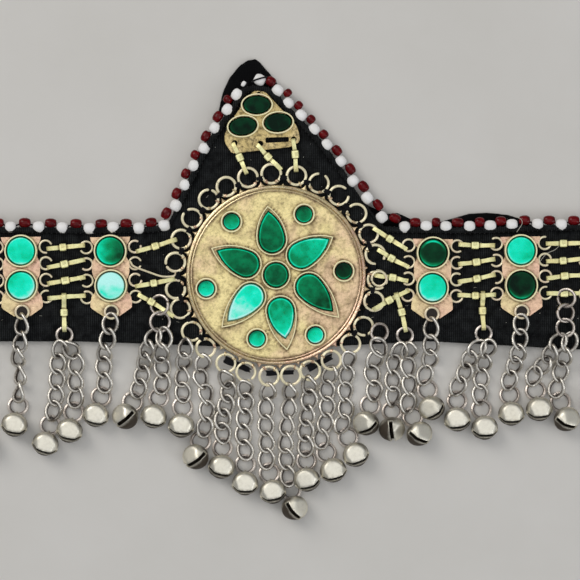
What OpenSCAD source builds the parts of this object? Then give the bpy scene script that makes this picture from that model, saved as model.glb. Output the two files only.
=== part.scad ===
// Forehead ornament: a beaded black cloth band with a triangular peak, a large ringed medallion,
// a peak plaque, six two-stone plaques joined by folded strips, and chains that end in small bells.
// It lies flat, face up. Origin: under the medallion's centre, on the back of the cloth. +Y points
// to the peak, +X to the wearer's left, +Z up, all in millimetres.

/* [Cloth] */
// Thickness of the lined cloth
cloth_thick = 3; // [2.8:0.1:3]
// Length of the band from end to end
band_length = 240; // [236:1:250]
// Upper edge of the band
band_top_y = 12.2; // [11.8:0.1:12.3]
// Thickness of the tie strap behind the cloth
strap_thick = 1.3; // [1:0.1:1.4]
// Room between the strap and the cloth round it
strap_room = 0.2; // [0.15:0.05:0.3]

/* [Medallion] */
// Radius of the medallion's plate
plate_r = 27.3; // [27:0.1:27.6]
// Radius of the circle that the border rings stand on
border_r = 30.45; // [30.2:0.05:30.6]
// Outer radius of a border ring
border_ring_r = 3.3; // [3.2:0.05:3.35]
// Thickness of the sheet and wire that all brass pieces are made of
brass_thick = 0.85; // [0.7:0.05:0.9]
// Height of the stone settings above their plate
bezel_height = 1.3; // [1:0.1:1.4]
// Room between a stone and its setting
stone_room = 0.2; // [0.1:0.05:0.25]
// Wall of a stone setting
bezel_wall = 0.6; // [0.4:0.05:0.7]

/* [Stones] */
// Radius of the centre stone
centre_stone_r = 3.8; // [3.6:0.1:3.8]
// Radius of a petal stone's round end
petal_r = 4.1; // [3.9:0.05:4.15]
// Radius of a small round stone
small_stone_r = 2.6; // [2.4:0.1:2.7]
// Radius of a plaque stone
plaque_stone_r = 4.2; // [4:0.1:4.2]
// Half of the long axis of a peak stone
oval_a = 4.2; // [4:0.1:4.2]
// Half of the short axis of a peak stone
oval_b = 2.8; // [2.6:0.1:2.8]

/* [Plaques] */
// Outer radius of a plaque's side ring
side_ring_r = 2.1; // [2:0.05:2.15]
// Distance of the side rings from the plaque's middle
side_ring_x = 7.3; // [7.2:0.05:7.4]
// Pitch of the side rings along the plaque
side_ring_pitch = 5; // [4.9:0.05:5.1]
// Outer radius of the bottom ring
bottom_ring_r = 2.3; // [2.2:0.05:2.4]

/* [Links] */
// Width of a folded strip link
strip_w = 1.6; // [1.4:0.1:1.7]
// Height of a folded strip link
strip_h = 0.9; // [0.7:0.1:1]
// Width of the collar round a strip link
collar_w = 2.5; // [2.2:0.1:2.6]

/* [Beads] */
// Radius of a white bead
white_r = 1.85; // [1.7:0.05:1.9]
// Length of a white bead along the thread
white_len = 3.4; // [3.2:0.1:3.4]
// Radius of a red bead
red_r = 1.85; // [1.7:0.05:1.9]
// Length of the shortest red bead along the thread
red_len = 2.1; // [1.9:0.1:2.1]
// Radius of the thread that the beads are strung on
thread_r = 0.4; // [0.3:0.05:0.5]

/* [Chains and bells] */
// Half thickness of a chain as it lies
chain_r = 1.3; // [1.1:0.05:1.3]
// Half width of a chain as it lies
chain_wide = 2.2; // [2:0.05:2.25]
// Radius of a bell across its axis
bell_r = 3.95; // [3.8:0.05:4]
// Half height of a bell along its axis
bell_c = 3.2; // [3:0.05:3.3]
// Wall of a bell
bell_wall = 0.45; // [0.3:0.05:0.5]
// Width of the slit in a bell
slit_w = 0.8; // [0.6:0.1:1]
// Radius to the middle of the wire of a bell's jump ring
jump_r = 2.6; // [2.4:0.05:2.65]
// Radius of the wire of jump rings and bell loops
wire_r = 0.3; // [0.25:0.05:0.35]

/* [Hidden] */
$fn = 48;
pad = 0.01;
facet_count = 8;
seat_gap = 0.1;
strip_gap = 0.15;
floor_gap = 0.05;
metal_z = cloth_thick + seat_gap;
metal_top = metal_z + brass_thick;
stone_z = metal_top + seat_gap;
strip_z = metal_top + strip_gap;
bead_z = strap_thick + strip_gap + white_r;
half_band = band_length / 2;

bell_count = 28;
plaque_count = 6;
plaque_names = [for (i = [1:plaque_count]) str("plaque_", i)];
bell_names = [for (i = [1:bell_count]) str("bell_", i < 10 ? "0" : "", i)];

// Outline of the cloth [x, y]: the two ends of the band, the hem, and the peak
cloth_outline = [
    [-half_band, -20], [-60, -20], [-30, -21], [0, -22.3], [30, -20.8], [45, -19.9], [90, -22.4],
    [half_band, -22.8],
    [half_band, band_top_y + 0.4], [78, band_top_y + 0.6], [60, band_top_y],
    [32.2, band_top_y + 0.4], [25.7, 21.5], [11.7, 40.1], [-2.6, 55.3], [-8.3, 55.3],
    [-19.9, 37.1], [-27.9, 20.2], [-30.6, 13.8], [-34, band_top_y - 0.2], [-56, band_top_y - 0.5],
    [-half_band, band_top_y]
];

// Outline of the tie strap [x, y]: the loop that shows at the peak, then the run behind the cloth
// to the right, where it shows above the beads twice
strap_outline = [
    [-17.4, 49.4], [-10, 44], [-3, 44], [6, 34], [18, 20], [28, 9], [38, 7], [52, 6], [64, 8],
    [80, 3.5], [88, 3], [88, 12], [80, 13.5], [73.2, 17.2], [70, 18.2], [63.6, 18.9], [58, 18.5],
    [53.4, 17.2], [46, 15], [39.6, 17.4], [36.5, 18.9], [33, 18.4], [26, 22], [2, 52],
    [0.2, 58.2], [-1.9, 60.8], [-4.8, 64.1], [-6.1, 65.2], [-8.6, 64.8], [-11.1, 63.1],
    [-14.1, 59.5], [-16.2, 54.9]
];

// White beads [x, y] in the order in which they are sewn on; a red bead lies between each two
left_band_beads = concat(
    [for (i = [5:-1:1]) [-79.7 - 7.6 * i, 14.3]],
    [[-79.7, 14.4], [-71.2, 14.4], [-64.2, 14.2], [-56, 14], [-48.9, 14.3], [-41.2, 14.1], [-33.6, 14.9]]
);
peak_left_beads = [
    [-30.1, 20.9], [-27.3, 27], [-24.6, 32.8], [-21.6, 38], [-18.3, 44.1], [-14.5, 49.6], [-11.7, 54.1]
];
peak_right_beads = [
    [-4.9, 58.6], [0.5, 55.4], [3.7, 51.6], [7.5, 47.9], [11.4, 43.7], [15.2, 39.1], [19.4, 34.1],
    [23.1, 28.3], [27.4, 23.2], [31.8, 17.4]
];
right_band_beads = concat(
    [[38.6, 14.4], [45.1, 14.6], [51, 14.5], [58.1, 14.5], [64.3, 14.7], [70.8, 15.1], [78.5, 15.2],
        [85.6, 15.1]],
    [for (i = [1:4]) [85.6 + 7.6 * i, 15]]
);
red_offset = 0.5;
tight_pitch = 6;
crowding = 0.6;
longest_red = 2.8;
bead_gap = 0.3;
bead_end = 0.62;
bead_shoulder = 0.25;

// Hand-set turn of each border ring away from an even pitch, in degrees, clockwise from the peak
ring_count = 27;
ring_start = -2.7;
ring_turn = [0, 1, 1, 1, 2, 2, 1, 2, 1, 3, 2, 3, 3, 1, 0, 0, -1, 0, -1, 0, -2, 0, 0, 0, 1, 0, 0];

function ring_centre(i) =
    let (a = 90 - (ring_start + 360 * i / ring_count + ring_turn[i]))
    [border_r * cos(a), border_r * sin(a)];

// Rim wires of the medallion [distance inside the plate's edge, radius of the wire]
rim_wires = [[0.6, 0.45], [1.6, 0.3]];

// Petals [x, y of the round end, direction of the tip, reach of the setting, reach of the stone]
petals = [
    [-1.2, 10.6, 97.4, 10.4, 8.8],
    [7.5, 5.9, 29.9, 11.3, 10],
    [9.9, -3.6, -45.6, 13, 10.4],
    [1.4, -10.7, -80.8, 12.1, 8.6],
    [-7.5, -6.5, -133.6, 12.9, 10.4],
    [-8.9, 3.3, 155.7, 11.7, 9.9]
];

petal_tip_wall = 1.2;

// Small round stones of the medallion [x, y]
small_stones = [[-13.3, 16], [8.4, 18.2], [20.3, 1.2], [11.8, -18], [-5.7, -19.1], [-20.9, -4.1]];

// How far a stone's top lies below its setting, and the bevel round it
stone_drop = 0.3;
stone_bevel = [0.6, 0.5];

// Peak plaque: outline [x, y], stones [x, y, turn], and holes for the links [x, y]
peak_outline = [
    [-13.2, 36.5], [4.4, 38.5], [7, 40], [7, 42], [6.1, 44.9], [-3.6, 55.3], [-5.2, 55.6],
    [-6.9, 55], [-11.7, 48.7], [-15.4, 42.2], [-15.3, 39.7]
];
peak_ovals = [[-5.7, 51, 2], [-9.9, 44.6, 8], [0.6, 45.7, 5]];
peak_holes = [[-12.4, 39.6], [-4.7, 39.4], [5.3, 40.7]];
peak_rings = [26, 0, 1];
peak_ring_lift = [0, 0.6];
peak_hole_r = 1.05;
thread_hole = [-5.2, 54.4];
thread_hole_r = 0.7;
peak_slot = [-2.6, 40.1, 6.6, 1.1];
oval_wall = 0.4;

// Plaques [x, y, turn], from the wearer's right to left
plaques = [
    [-103.2, 2, 0], [-76.4, 2, 1], [-49.6, 2, 1],
    [47, 1.4, -1], [73.5, 2.1, 1], [100.2, 2, 0]
];

// Right half of a plaque's plate [x, y] from the top down; the left half mirrors it
plaque_half = [
    [5.9, 9.4], [5.7, 5.4], [4.6, 4.2], [5.7, 2.6], [5.9, 0], [5.7, -4.6], [4.6, -6],
    [5.8, -7.6], [6.2, -10.2], [6.2, -11.8], [2.4, -14.4]
];
stone_half_pitch = 5.2;
bottom_ring_y = -13.1;
side_ring_top = 6.4;
side_ring_wall = 0.55;
bottom_ring_wall = 0.6;

function turned(p, a) = [p.x * cos(a) - p.y * sin(a), p.x * sin(a) + p.y * cos(a)];
function on_plaque(i, p) = [plaques[i].x, plaques[i].y] + turned(p, plaques[i][2]);
function side_ring(i, side, k) =
    on_plaque(i, [side * side_ring_x, side_ring_top - side_ring_pitch * k]);

// Links to the medallion: [plaque, its side, side ring, border ring]
left_medallion_links = [[2, 1, 0, 22], [2, 1, 1, 21], [2, 1, 2, 20], [2, 1, 3, 19]];
right_medallion_links = [[3, -1, 0, 5], [3, -1, 1, 6], [3, -1, 2, 7], [3, -1, 3, 8]];

// Hanging strips [x and y over the lowest link, x and y at the ring below]
hangers = [
    [-90.2, -4.2, -90.4, -16.9], [-63.6, -4.2, -63.5, -16.9],
    [36.3, -4, 38.7, -17], [62.1, -3.6, 62.3, -16.4]
];
hanger_ring_r = 2.3;
hanger_rise = 1.3;
hanger_end = 0.9;
strip_end_gap = 0.08;
collar_len = 2;
collar_rise = 0.2;
collar_sink = 0.02;
collar_place = 0.45;

// Loose rings [x, y, z, radius, tilt along X]: two on a link left of the medallion, three on a link
// at the right, one in a border ring
loose_rings = [
    [-34.9, -9, 4.6, 2.9, 24], [-34.8, -14, 4.5, 2.9, -15],
    [87, -6.9, 4.7, 2.7, 28], [86.8, -11.4, 4.65, 2.6, -19], [86.7, -15.8, 4.6, 2.6, 16],
    [31, -17.1, 4.5, 2.6, -20]
];

// Chains and their bells: [bell x, bell y, turn from +Y, tilt below level, roll of the slit,
// route of the chain [x, y, z] from the top]; the route ends at the bell's jump ring
drops = [
    [-105, -43.5, -4, 43, 0, [[-103.1, -14, 4.4], [-103.6, -21.4, 4.3], [-104, -27, 1.35]]],
    [-96.4, -47, -8, 43, 0, [[-91.9, -21.5, 3.2], [-93.6, -27, 1.35], [-95, -34, 1.35]]],
    [-88, -50.2, -2, 43, 0, [[-89, -21.5, 3.2], [-87.6, -27, 1.35], [-87.4, -35, 1.35]]],
    [-78.5, -44.9, -7, 43, 6, [[-76.2, -13.9, 4.4], [-77, -21.4, 4.4], [-77.3, -27, 1.35]]],
    [-69.2, -50.6, -12, 43, 8, [[-64.9, -21.5, 3.2], [-65.4, -26, 1.35], [-66.4, -34, 1.35]]],
    [-62, -46.7, -10, 43, 4, [[-62.1, -21.5, 3.2], [-60.3, -26, 1.35], [-60.3, -33, 1.35]]],
    [-54.1, -42, -14, 42, 0, [[-49.6, -13.7, 4.4], [-50.6, -21.4, 4.4], [-51.6, -26, 1.35]]],
    [-45.2, -42.4, -25, 60, -64, [[-36.4, -18, 4.6], [-38.1, -21.9, 4.4], [-40.2, -28, 1.35]]],
    [-36.7, -42.4, -14, 42, 0, [[-33.4, -18, 4.6], [-34.2, -21.9, 4.4], [-34.2, -28, 1.35]]],
    [-28.4, -45.2, -2, 44, 4, [[-26.7, -21.1, 4.6], [-27.6, -23.4, 4.2], [-27.8, -28, 1.35]]],
    [-24.1, -54.5, -17, 60, -53, [[-21.9, -25.9, 3], [-22.5, -30, 1.35], [-21, -36, 1.35], [-21.3, -43, 1.35]]],
    [-16.4, -57.5, -2, 44, 15, [[-14.9, -30.5, 3], [-14.5, -34.5, 1.35], [-15.8, -43.5, 1.35]]],
    [-9.3, -62.5, 0, 44, 2, [[-9.2, -33.6, 3], [-9.4, -37.5, 1.35], [-9.6, -46, 1.35]]],
    [-1, -65, 11, 45, 0, [[-2.2, -34.4, 3], [-2.6, -38, 1.35], [-3.2, -48, 1.35]]],
    [5.6, -69.8, 12, 52, 62, [[4.5, -34.4, 3], [3.9, -38, 1.35], [2.6, -50, 1.35]]],
    [9.3, -61.4, 2, 43, -15, [[10.2, -32.4, 3], [9.8, -36.5, 1.35], [8.7, -46, 1.35]]],
    [17.1, -58.6, 21, 43, 8, [[16.4, -29.3, 3], [15.5, -34, 1.35], [14.7, -45, 1.35]]],
    [23.9, -53.9, 24, 44, 5, [[22.1, -24.8, 3], [21.2, -29.5, 1.35], [21.1, -40, 1.35]]],
    [27, -44.5, -15, 43, -45, [[31, -20.8, 4.6], [30.7, -23, 4], [29, -29, 1.35]]],
    [34.8, -46.2, -2, 50, 80, [[37.4, -22.2, 3.4], [35.8, -26, 1.35], [34.9, -33, 1.35]]],
    [43, -47.6, 20, 50, 48, [[40.1, -22.2, 3.4], [40, -26, 1.35], [40, -34, 1.35]]],
    [46.7, -39.9, 11, 43, -25, [[46.6, -14.4, 4.4], [46.2, -21, 4.4], [46, -26, 1.35]]],
    [54.4, -43.3, -2, 44, -14, [[60.9, -21.3, 4.5], [59.4, -23.4, 3.8], [57, -28.2, 1.35]]],
    [62.6, -45.8, 7, 44, 7, [[63.7, -21.3, 4.5], [63.4, -23.4, 3.8], [62.5, -29, 1.35]]],
    [70.6, -41.6, 2, 43, 0, [[73.5, -13.9, 4.4], [72.5, -22.4, 4.4], [71.2, -28, 1.35]]],
    [79, -40.2, 8, 43, 4, [[85.1, -19.3, 4.6], [82.6, -23.4, 4.2], [80, -27.5, 1.35]]],
    [87.2, -43.2, 16, 50, 38, [[88.2, -19.3, 4.6], [87.2, -23.4, 4.2], [85.4, -29, 1.35]]],
    [96.4, -39.6, 0, 43, 0, [[100.2, -13.9, 4.4], [99.5, -23, 4.4], [97.8, -28, 1.35]]]
];
loop_r = 0.8;
loop_reach = bell_c + 0.55;
bell_roundness = 0.85;
slit_depth = bell_c - 0.6;
pellet_r = 1;
chain_gap = 0.55;
chain_taper = 2.5;
chain_start = [1.3, 1.65];
chain_lift = chain_r + floor_gap;

// Flat outlines
function unit(v) = v / norm(v);
function out_normal(a, b) = let (u = unit(b - a)) [u.y, -u.x];
function grown(points, d) =
    let (n = len(points))
    [for (i = [0:n - 1])
        let (
            before = out_normal(points[(i + n - 1) % n], points[i]),
            after = out_normal(points[i], points[(i + 1) % n]),
            mitre = unit(before + after)
        )
        points[i] + mitre * d / (mitre * before)];
function leaf(r, reach) =
    let (
        side = (reach * reach + r * r) / (2 * r),
        tip = asin(reach / side)
    )
    concat(
        [for (a = [-180:15:-1]) [r * cos(a), r * sin(a)]],
        [for (k = [0:4]) [r - side + side * cos(tip * k / 5), side * sin(tip * k / 5)]],
        [[0, reach]],
        [for (k = [4:-1:1]) [side - r - side * cos(tip * k / 5), side * sin(tip * k / 5)]]
    );
function oval(a, b) = [for (t = [0:12:359]) [a * cos(t), b * sin(t)]];

module frame_of(points, inner, outer) {
    difference() {
        polygon(grown(points, outer));
        polygon(grown(points, inner));
    }
}
module round_bezel(r) {
    difference() {
        circle(r + stone_room + bezel_wall);
        circle(r + stone_room);
    }
}
module wire_ring(r, inner) {
    difference() {
        circle(r);
        circle(inner);
    }
}
module round_stone(r) {
    h = bezel_height - stone_drop;
    translate([0, 0, stone_z])
        rotate_extrude()
            polygon([[0, 0], [r, 0], [r, h - stone_bevel.y], [r - stone_bevel.x, h], [0, h]]);
}

// Cloth
module cloth_backing() {
    color([0.07, 0.07, 0.08])
        difference() {
            linear_extrude(cloth_thick) polygon(cloth_outline);
            translate([0, 0, -pad])
                linear_extrude(strap_thick + strap_room + pad)
                    polygon(grown(strap_outline, strap_room));
        }
}
module tie_strap() {
    color([0.04, 0.04, 0.05]) linear_extrude(strap_thick) polygon(strap_outline);
}

// Beads on their thread
module bead(p, q, r, len) {
    v = q - p;
    translate([p.x, p.y, bead_z])
        rotate([0, 90, atan2(v.y, v.x)])
            translate([0, 0, -len / 2])
                rotate_extrude()
                    polygon([
                        [0, 0], [r * bead_end, 0], [r, len * bead_shoulder],
                        [r, len * (1 - bead_shoulder)], [r * bead_end, len], [0, len]
                    ]);
}
module thread(p, q) {
    v = q - p;
    translate([p.x, p.y, bead_z])
        rotate([0, 90, atan2(v.y, v.x)])
            cylinder(r = thread_r, h = norm(v));
}
// A red bead sits a little outside the row, and further out where the white ones are close together
function red_place(p, q) =
    let (
        out = red_offset + crowding * max(0, tight_pitch - norm(q - p)),
        v = unit(q - p)
    )
    (p + q) / 2 + out * [-v.y, v.x];
function red_length(p, q) = min(longest_red, max(red_len, norm(q - p) - white_len - bead_gap));
module red_bead(p, q) {
    m = red_place(p, q);
    color([0.45, 0.02, 0.05]) {
        bead(m, m + q - p, red_r, red_length(p, q));
        thread(m, q);
    }
}
module bead_row(whites) {
    last = len(whites) - 1;
    color("white")
        for (i = [0:last]) {
            a = whites[max(i - 1, 0)];
            b = whites[min(i + 1, last)];
            bead(whites[i], whites[i] + b - a, white_r, white_len);
        }
    for (i = [0:last - 1]) {
        red_bead(whites[i], whites[i + 1]);
        color("white") thread(whites[i], red_place(whites[i], whites[i + 1]));
    }
}

// Medallion: plate, border rings, rim wires and settings, soldered into one
module medallion() {
    color([0.8, 0.7, 0.5]) {
        translate([0, 0, metal_z])
            linear_extrude(brass_thick)
                union() {
                    circle(plate_r);
                    for (i = [0:ring_count - 1])
                        translate(ring_centre(i)) wire_ring(border_ring_r, border_ring_r - brass_thick);
                }
        translate([0, 0, metal_top])
            rotate_extrude()
                for (w = rim_wires)
                    translate([plate_r - w[0], 0]) circle(w[1]);
        translate([0, 0, metal_top - pad])
            linear_extrude(bezel_height)
                union() {
                    round_bezel(centre_stone_r);
                    for (p = small_stones) translate(p) round_bezel(small_stone_r);
                    for (p = petals)
                        translate([p.x, p.y])
                            rotate(p[2] - 90)
                                frame_of(leaf(petal_r + stone_room, p[3] - petal_tip_wall), 0, bezel_wall);
                }
    }
}
module centre_stone() {
    color([0, 0.35, 0.2]) round_stone(centre_stone_r);
}
module petal_stones() {
    color([0, 0.5, 0.3])
        for (p = petals)
            translate([p.x, p.y, stone_z])
                rotate(p[2] - 90)
                    linear_extrude(bezel_height - stone_drop)
                        polygon(leaf(petal_r, p[4]));
}
module round_stones() {
    color([0, 0.6, 0.4])
        for (p = small_stones)
            translate(p) round_stone(small_stone_r);
}

// Peak plaque
module peak_plaque() {
    color([0.82, 0.74, 0.5]) {
        translate([0, 0, metal_z])
            linear_extrude(brass_thick)
                difference() {
                    polygon(peak_outline);
                    translate(thread_hole) circle(thread_hole_r);
                    translate([peak_slot[0], peak_slot[1]]) square([peak_slot[2], peak_slot[3]]);
                    for (p = peak_holes) translate(p) circle(peak_hole_r);
                }
        translate([0, 0, metal_top - pad])
            linear_extrude(bezel_height)
                for (p = peak_ovals)
                    translate([p.x, p.y])
                        rotate(p[2])
                            frame_of(oval(oval_a, oval_b), stone_room, stone_room + oval_wall);
    }
}
module peak_stones() {
    color([0, 0.3, 0.15])
        for (p = peak_ovals)
            translate([p.x, p.y, stone_z])
                rotate(p[2])
                    linear_extrude(bezel_height - stone_drop)
                        polygon(oval(oval_a, oval_b));
}

// Two-stone plaques
function plaque_outline() = concat(
    plaque_half,
    [for (i = [len(plaque_half) - 1:-1:0]) [-plaque_half[i].x, plaque_half[i].y]]
);
module plaque(i) {
    color([0.85, 0.66, 0.52])
        translate([plaques[i].x, plaques[i].y, metal_z])
            rotate(plaques[i][2]) {
                linear_extrude(brass_thick)
                    difference() {
                        union() {
                            polygon(plaque_outline());
                            for (s = [-1, 1], k = [0:3])
                                translate([s * side_ring_x, side_ring_top - side_ring_pitch * k])
                                    circle(side_ring_r);
                            translate([0, bottom_ring_y]) circle(bottom_ring_r);
                        }
                        for (s = [-1, 1], k = [0:3])
                            translate([s * side_ring_x, side_ring_top - side_ring_pitch * k])
                                circle(side_ring_r - side_ring_wall);
                        translate([0, bottom_ring_y]) circle(bottom_ring_r - bottom_ring_wall);
                    }
                translate([0, 0, brass_thick - pad])
                    linear_extrude(bezel_height)
                        for (s = [-1, 1])
                            translate([0, s * stone_half_pitch]) round_bezel(plaque_stone_r);
            }
}
module plaque_stones(first, last) {
    color([0, 0.7, 0.5])
        for (i = [first:last], s = [-1, 1])
            translate(on_plaque(i, [0, s * stone_half_pitch]))
                round_stone(plaque_stone_r);
}

// Folded strip link from one ring to another: a bar with a collar and two turned-down ends
module strip_link(p, q, collar = 0.5) {
    v = q - p;
    translate([p.x, p.y, strip_z])
        rotate(atan2(v.y, v.x)) {
            translate([0, -strip_w / 2, 0]) cube([norm(v), strip_w, strip_h]);
            for (x = [0, norm(v)])
                translate([x, 0, metal_z - strip_z + seat_gap])
                    cylinder(r = strip_w / 2 - strip_end_gap, h = strip_z - metal_z + strip_h - strip_gap);
            translate([norm(v) * collar - collar_len / 2, -collar_w / 2, collar_sink])
                cube([collar_len, collar_w, strip_h + collar_rise]);
        }
}
module peak_links() {
    color([0.8, 0.75, 0.4])
        for (k = [0:2])
            strip_link(peak_holes[k], ring_centre(peak_rings[k]) + peak_ring_lift);
}
module links_between(i) {
    for (k = [0:3])
        strip_link(side_ring(i, 1, k), side_ring(i + 1, -1, k), collar_place);
}
module links_to_medallion(rows) {
    for (r = rows)
        strip_link(side_ring(r[0], r[1], r[2]), ring_centre(r[3]));
}
module strip_links_left() {
    color([0.8, 0.75, 0.4]) {
        links_between(0);
        links_between(1);
        links_to_medallion(left_medallion_links);
    }
}
module strip_links_right() {
    color([0.8, 0.75, 0.4]) {
        links_to_medallion(right_medallion_links);
        links_between(3);
        links_between(4);
    }
}

// A strip that hangs over a link and ends in a ring
module hanging_links() {
    over_z = strip_z + strip_h + hanger_rise;
    color([0.8, 0.75, 0.4])
        for (h = hangers) {
            v = [h[2] - h[0], h[3] - h[1], strip_z + strip_h / 2 - over_z];
            run = norm([v.x, v.y]);
            turn = atan2(v.y, v.x);
            translate([h[0], h[1], over_z])
                rotate([0, -atan2(v.z, run), turn]) {
                    translate([0, -strip_w / 2, -strip_h / 2]) cube([norm(v), strip_w, strip_h]);
                    translate([(norm(v) - collar_len) / 2, -collar_w / 2, collar_sink - strip_h / 2])
                        cube([collar_len, collar_w, strip_h + collar_rise]);
                }
            translate([h[2], h[3], metal_z + seat_gap])
                cylinder(r = strip_w / 2 - strip_end_gap, h = strip_z + strip_h / 2 - metal_z);
        }
}

// Bells
function bell_lift(tilt) = max(
    norm([bell_r * cos(tilt), bell_c * sin(tilt)]),
    loop_reach * sin(tilt) + loop_r + wire_r
) + floor_gap;
function heading(turn) = [-sin(turn), cos(turn)];
function loop_place(d) =
    let (flat = heading(d[2]) * loop_reach * cos(d[3]))
    [d[0] + flat.x, d[1] + flat.y, bell_lift(d[3]) - loop_reach * sin(d[3])];
function ring_fall(d) = asin((loop_place(d).z - wire_r - floor_gap) / (2 * jump_r));
function beyond_ring(d, reach) =
    let (h = heading(d[2]), p = loop_place(d), fall = ring_fall(d))
    [p.x + h.x * reach * cos(fall), p.y + h.y * reach * cos(fall), p.z - reach * sin(fall)];
function shell(r, c) = [for (t = [-90:15:90]) [
    abs(t) == 90 ? 0 : r * pow(cos(t), bell_roundness),
    c * sign(t) * pow(abs(sin(t)), bell_roundness)
]];
module bell(d) {
    color([0.75, 0.74, 0.7])
        translate([d[0], d[1], bell_lift(d[3])])
            rotate([0, 0, d[2]])
                rotate([-90 - d[3], 0, 0]) {
                    rotate([0, 0, d[4]])
                        difference() {
                            rotate_extrude()
                                difference() {
                                    polygon(shell(bell_r, bell_c));
                                    polygon(shell(bell_r - bell_wall, bell_c - bell_wall));
                                }
                            translate([-bell_r - 1, -slit_w / 2, -bell_c - 1])
                                cube([2 * bell_r + 2, slit_w, slit_depth + 1]);
                        }
                    translate([0, 0, loop_reach])
                        rotate([0, 90, 0])
                            rotate_extrude() translate([loop_r, 0]) circle(wire_r);
                }
    color([0.4, 0.4, 0.4])
        translate([d[0], d[1], bell_lift(d[3]) - bell_c + bell_wall + pellet_r + seat_gap])
            sphere(pellet_r);
}

// Jump rings: one for each bell, one below each hanging strip, and the loose ones
module torus(r) {
    rotate_extrude() translate([r, 0]) circle(wire_r);
}
module jump_rings() {
    color([0.7, 0.68, 0.65]) {
        for (d = drops)
            translate(beyond_ring(d, jump_r))
                rotate([0, 0, d[2]])
                    rotate([-ring_fall(d), 0, 0])
                        torus(jump_r);
        for (h = hangers)
            translate([h[2], h[3] - hanger_ring_r + hanger_end + wire_r, metal_z + wire_r + floor_gap])
                torus(hanger_ring_r);
        for (r = loose_rings)
            translate([r.x, r.y, r.z])
                rotate([0, -r[4], 0])
                    torus(r[3]);
    }
}

// Chains: each is a flat tube along its route, narrow where its first link hangs in a ring and at the
// end, where the last link faces the bell's jump ring squarely
function chain_end(d, back) =
    let (p = beyond_ring(d, 2 * jump_r + chain_gap + back))
    [p.x, p.y, chain_lift];
function half_width(i, last) =
    i < len(chain_start) ? chain_start[i] : i == last ? chain_start[0] : chain_wide;
function along(points, i, end) =
    i == len(points) - 1 ? end : unit(points[i + 1] - points[max(i - 1, 0)]);
function section(p, d, wide) =
    let (side = unit(cross(d, [0, 0, 1])), up = cross(side, d))
    [for (k = [0:facet_count - 1])
        let (a = 360 * (k + 0.5) / facet_count)
        p + wide * cos(a) * side + chain_r * sin(a) * up];
module tube(points, end) {
    n = facet_count;
    last = len(points) - 1;
    polyhedron(
        points = [for (i = [0:last]) each section(points[i], along(points, i, end), half_width(i, last))],
        faces = concat(
            [[for (k = [n - 1:-1:0]) k]],
            [for (i = [0:last - 1], k = [0:n - 1])
                [i * n + k, i * n + (k + 1) % n, (i + 1) * n + (k + 1) % n, (i + 1) * n + k]],
            [[for (k = [0:n - 1]) last * n + k]]
        )
    );
}
module chains(first, last) {
    color([0.6, 0.58, 0.55])
        for (d = [for (i = [first:last]) drops[i]])
            tube(concat(d[5], [chain_end(d, chain_taper), chain_end(d, 0)]), -[each heading(d[2]), 0]);
}

cloth_backing();
tie_strap();
bead_row(left_band_beads);  // beads_left_band
union() {  // beads_peak_left
    bead_row(peak_left_beads);
    red_bead(left_band_beads[len(left_band_beads) - 1], peak_left_beads[0]);
}
bead_row(peak_right_beads);  // beads_peak_right
union() {  // beads_right_band
    bead_row(right_band_beads);
    red_bead(peak_right_beads[len(peak_right_beads) - 1], right_band_beads[0]);
}
medallion();
centre_stone();
petal_stones();
round_stones();
peak_plaque();
peak_stones();
peak_links();
for (i = [0:plaque_count - 1])
    plaque(i);
plaque_stones(0, 2);  // plaque_stones_left
plaque_stones(3, 5);  // plaque_stones_right
strip_links_left();
strip_links_right();
hanging_links();
jump_rings();
chains(0, 8);  // chains_left
chains(9, 18);  // chains_middle
chains(19, 27);  // chains_right
for (i = [0:bell_count - 1])
    bell(drops[i]);
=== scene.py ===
# %% [markdown]
# # A beaded head chain, laid flat on a table
# The real object is folk jewellery: a band of black cloth with a pointed peak, and metal sewn onto it.
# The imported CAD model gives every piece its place. This lesson loads it as a fixed frame and puts the
# visible pieces around it: woven cloth, glass beads, aged brass, foil-backed glass, chains and bells.

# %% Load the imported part
import math
import random

import bpy
import numpy as np
from mathutils import Euler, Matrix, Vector, noise


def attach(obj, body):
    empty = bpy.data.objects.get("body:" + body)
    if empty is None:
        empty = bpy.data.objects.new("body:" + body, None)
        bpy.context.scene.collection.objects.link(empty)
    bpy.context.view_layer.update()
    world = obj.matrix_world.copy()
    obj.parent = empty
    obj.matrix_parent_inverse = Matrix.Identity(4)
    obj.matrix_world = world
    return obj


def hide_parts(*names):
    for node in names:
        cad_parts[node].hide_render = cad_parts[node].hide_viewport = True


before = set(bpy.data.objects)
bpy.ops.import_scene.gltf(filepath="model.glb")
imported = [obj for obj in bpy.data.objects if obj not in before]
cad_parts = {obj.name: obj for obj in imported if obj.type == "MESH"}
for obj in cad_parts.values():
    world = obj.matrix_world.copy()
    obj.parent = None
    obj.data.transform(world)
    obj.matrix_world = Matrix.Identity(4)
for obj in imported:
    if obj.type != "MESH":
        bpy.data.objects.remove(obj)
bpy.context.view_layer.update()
scene = bpy.context.scene
print("CAD nodes loaded:", len(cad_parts))

# %% [markdown]
# ## Camera, floor and light
# The object was photographed straight from above. One photo pixel is 0.3 mm, so the frame of 580
# pixels is 174 mm wide. The camera stands 0.6 m up and its lens is chosen to see just that width.
# A wide soft panel overhead gives flat metal something pale to mirror, a smaller one at the upper
# left models the round bells, and a weak one at the right keeps their other side readable. The room
# stays dim, so tilted faces of the metal turn darker.

# %% Camera, floor and light
MM = 0.001
PHOTO_WIDTH = 174 * MM
PHOTO_CENTRE = (4.2 * MM, -4.5 * MM)
CAMERA_HEIGHT = 0.6
METAL_HEIGHT = 4 * MM
ROOM_TONE = (0.9, 0.94, 1.0, 1)
ROOM_LIGHT = 0.22


def add_object(name, data):
    made = bpy.data.objects.new(name, data)
    scene.collection.objects.link(made)
    return made


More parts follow.
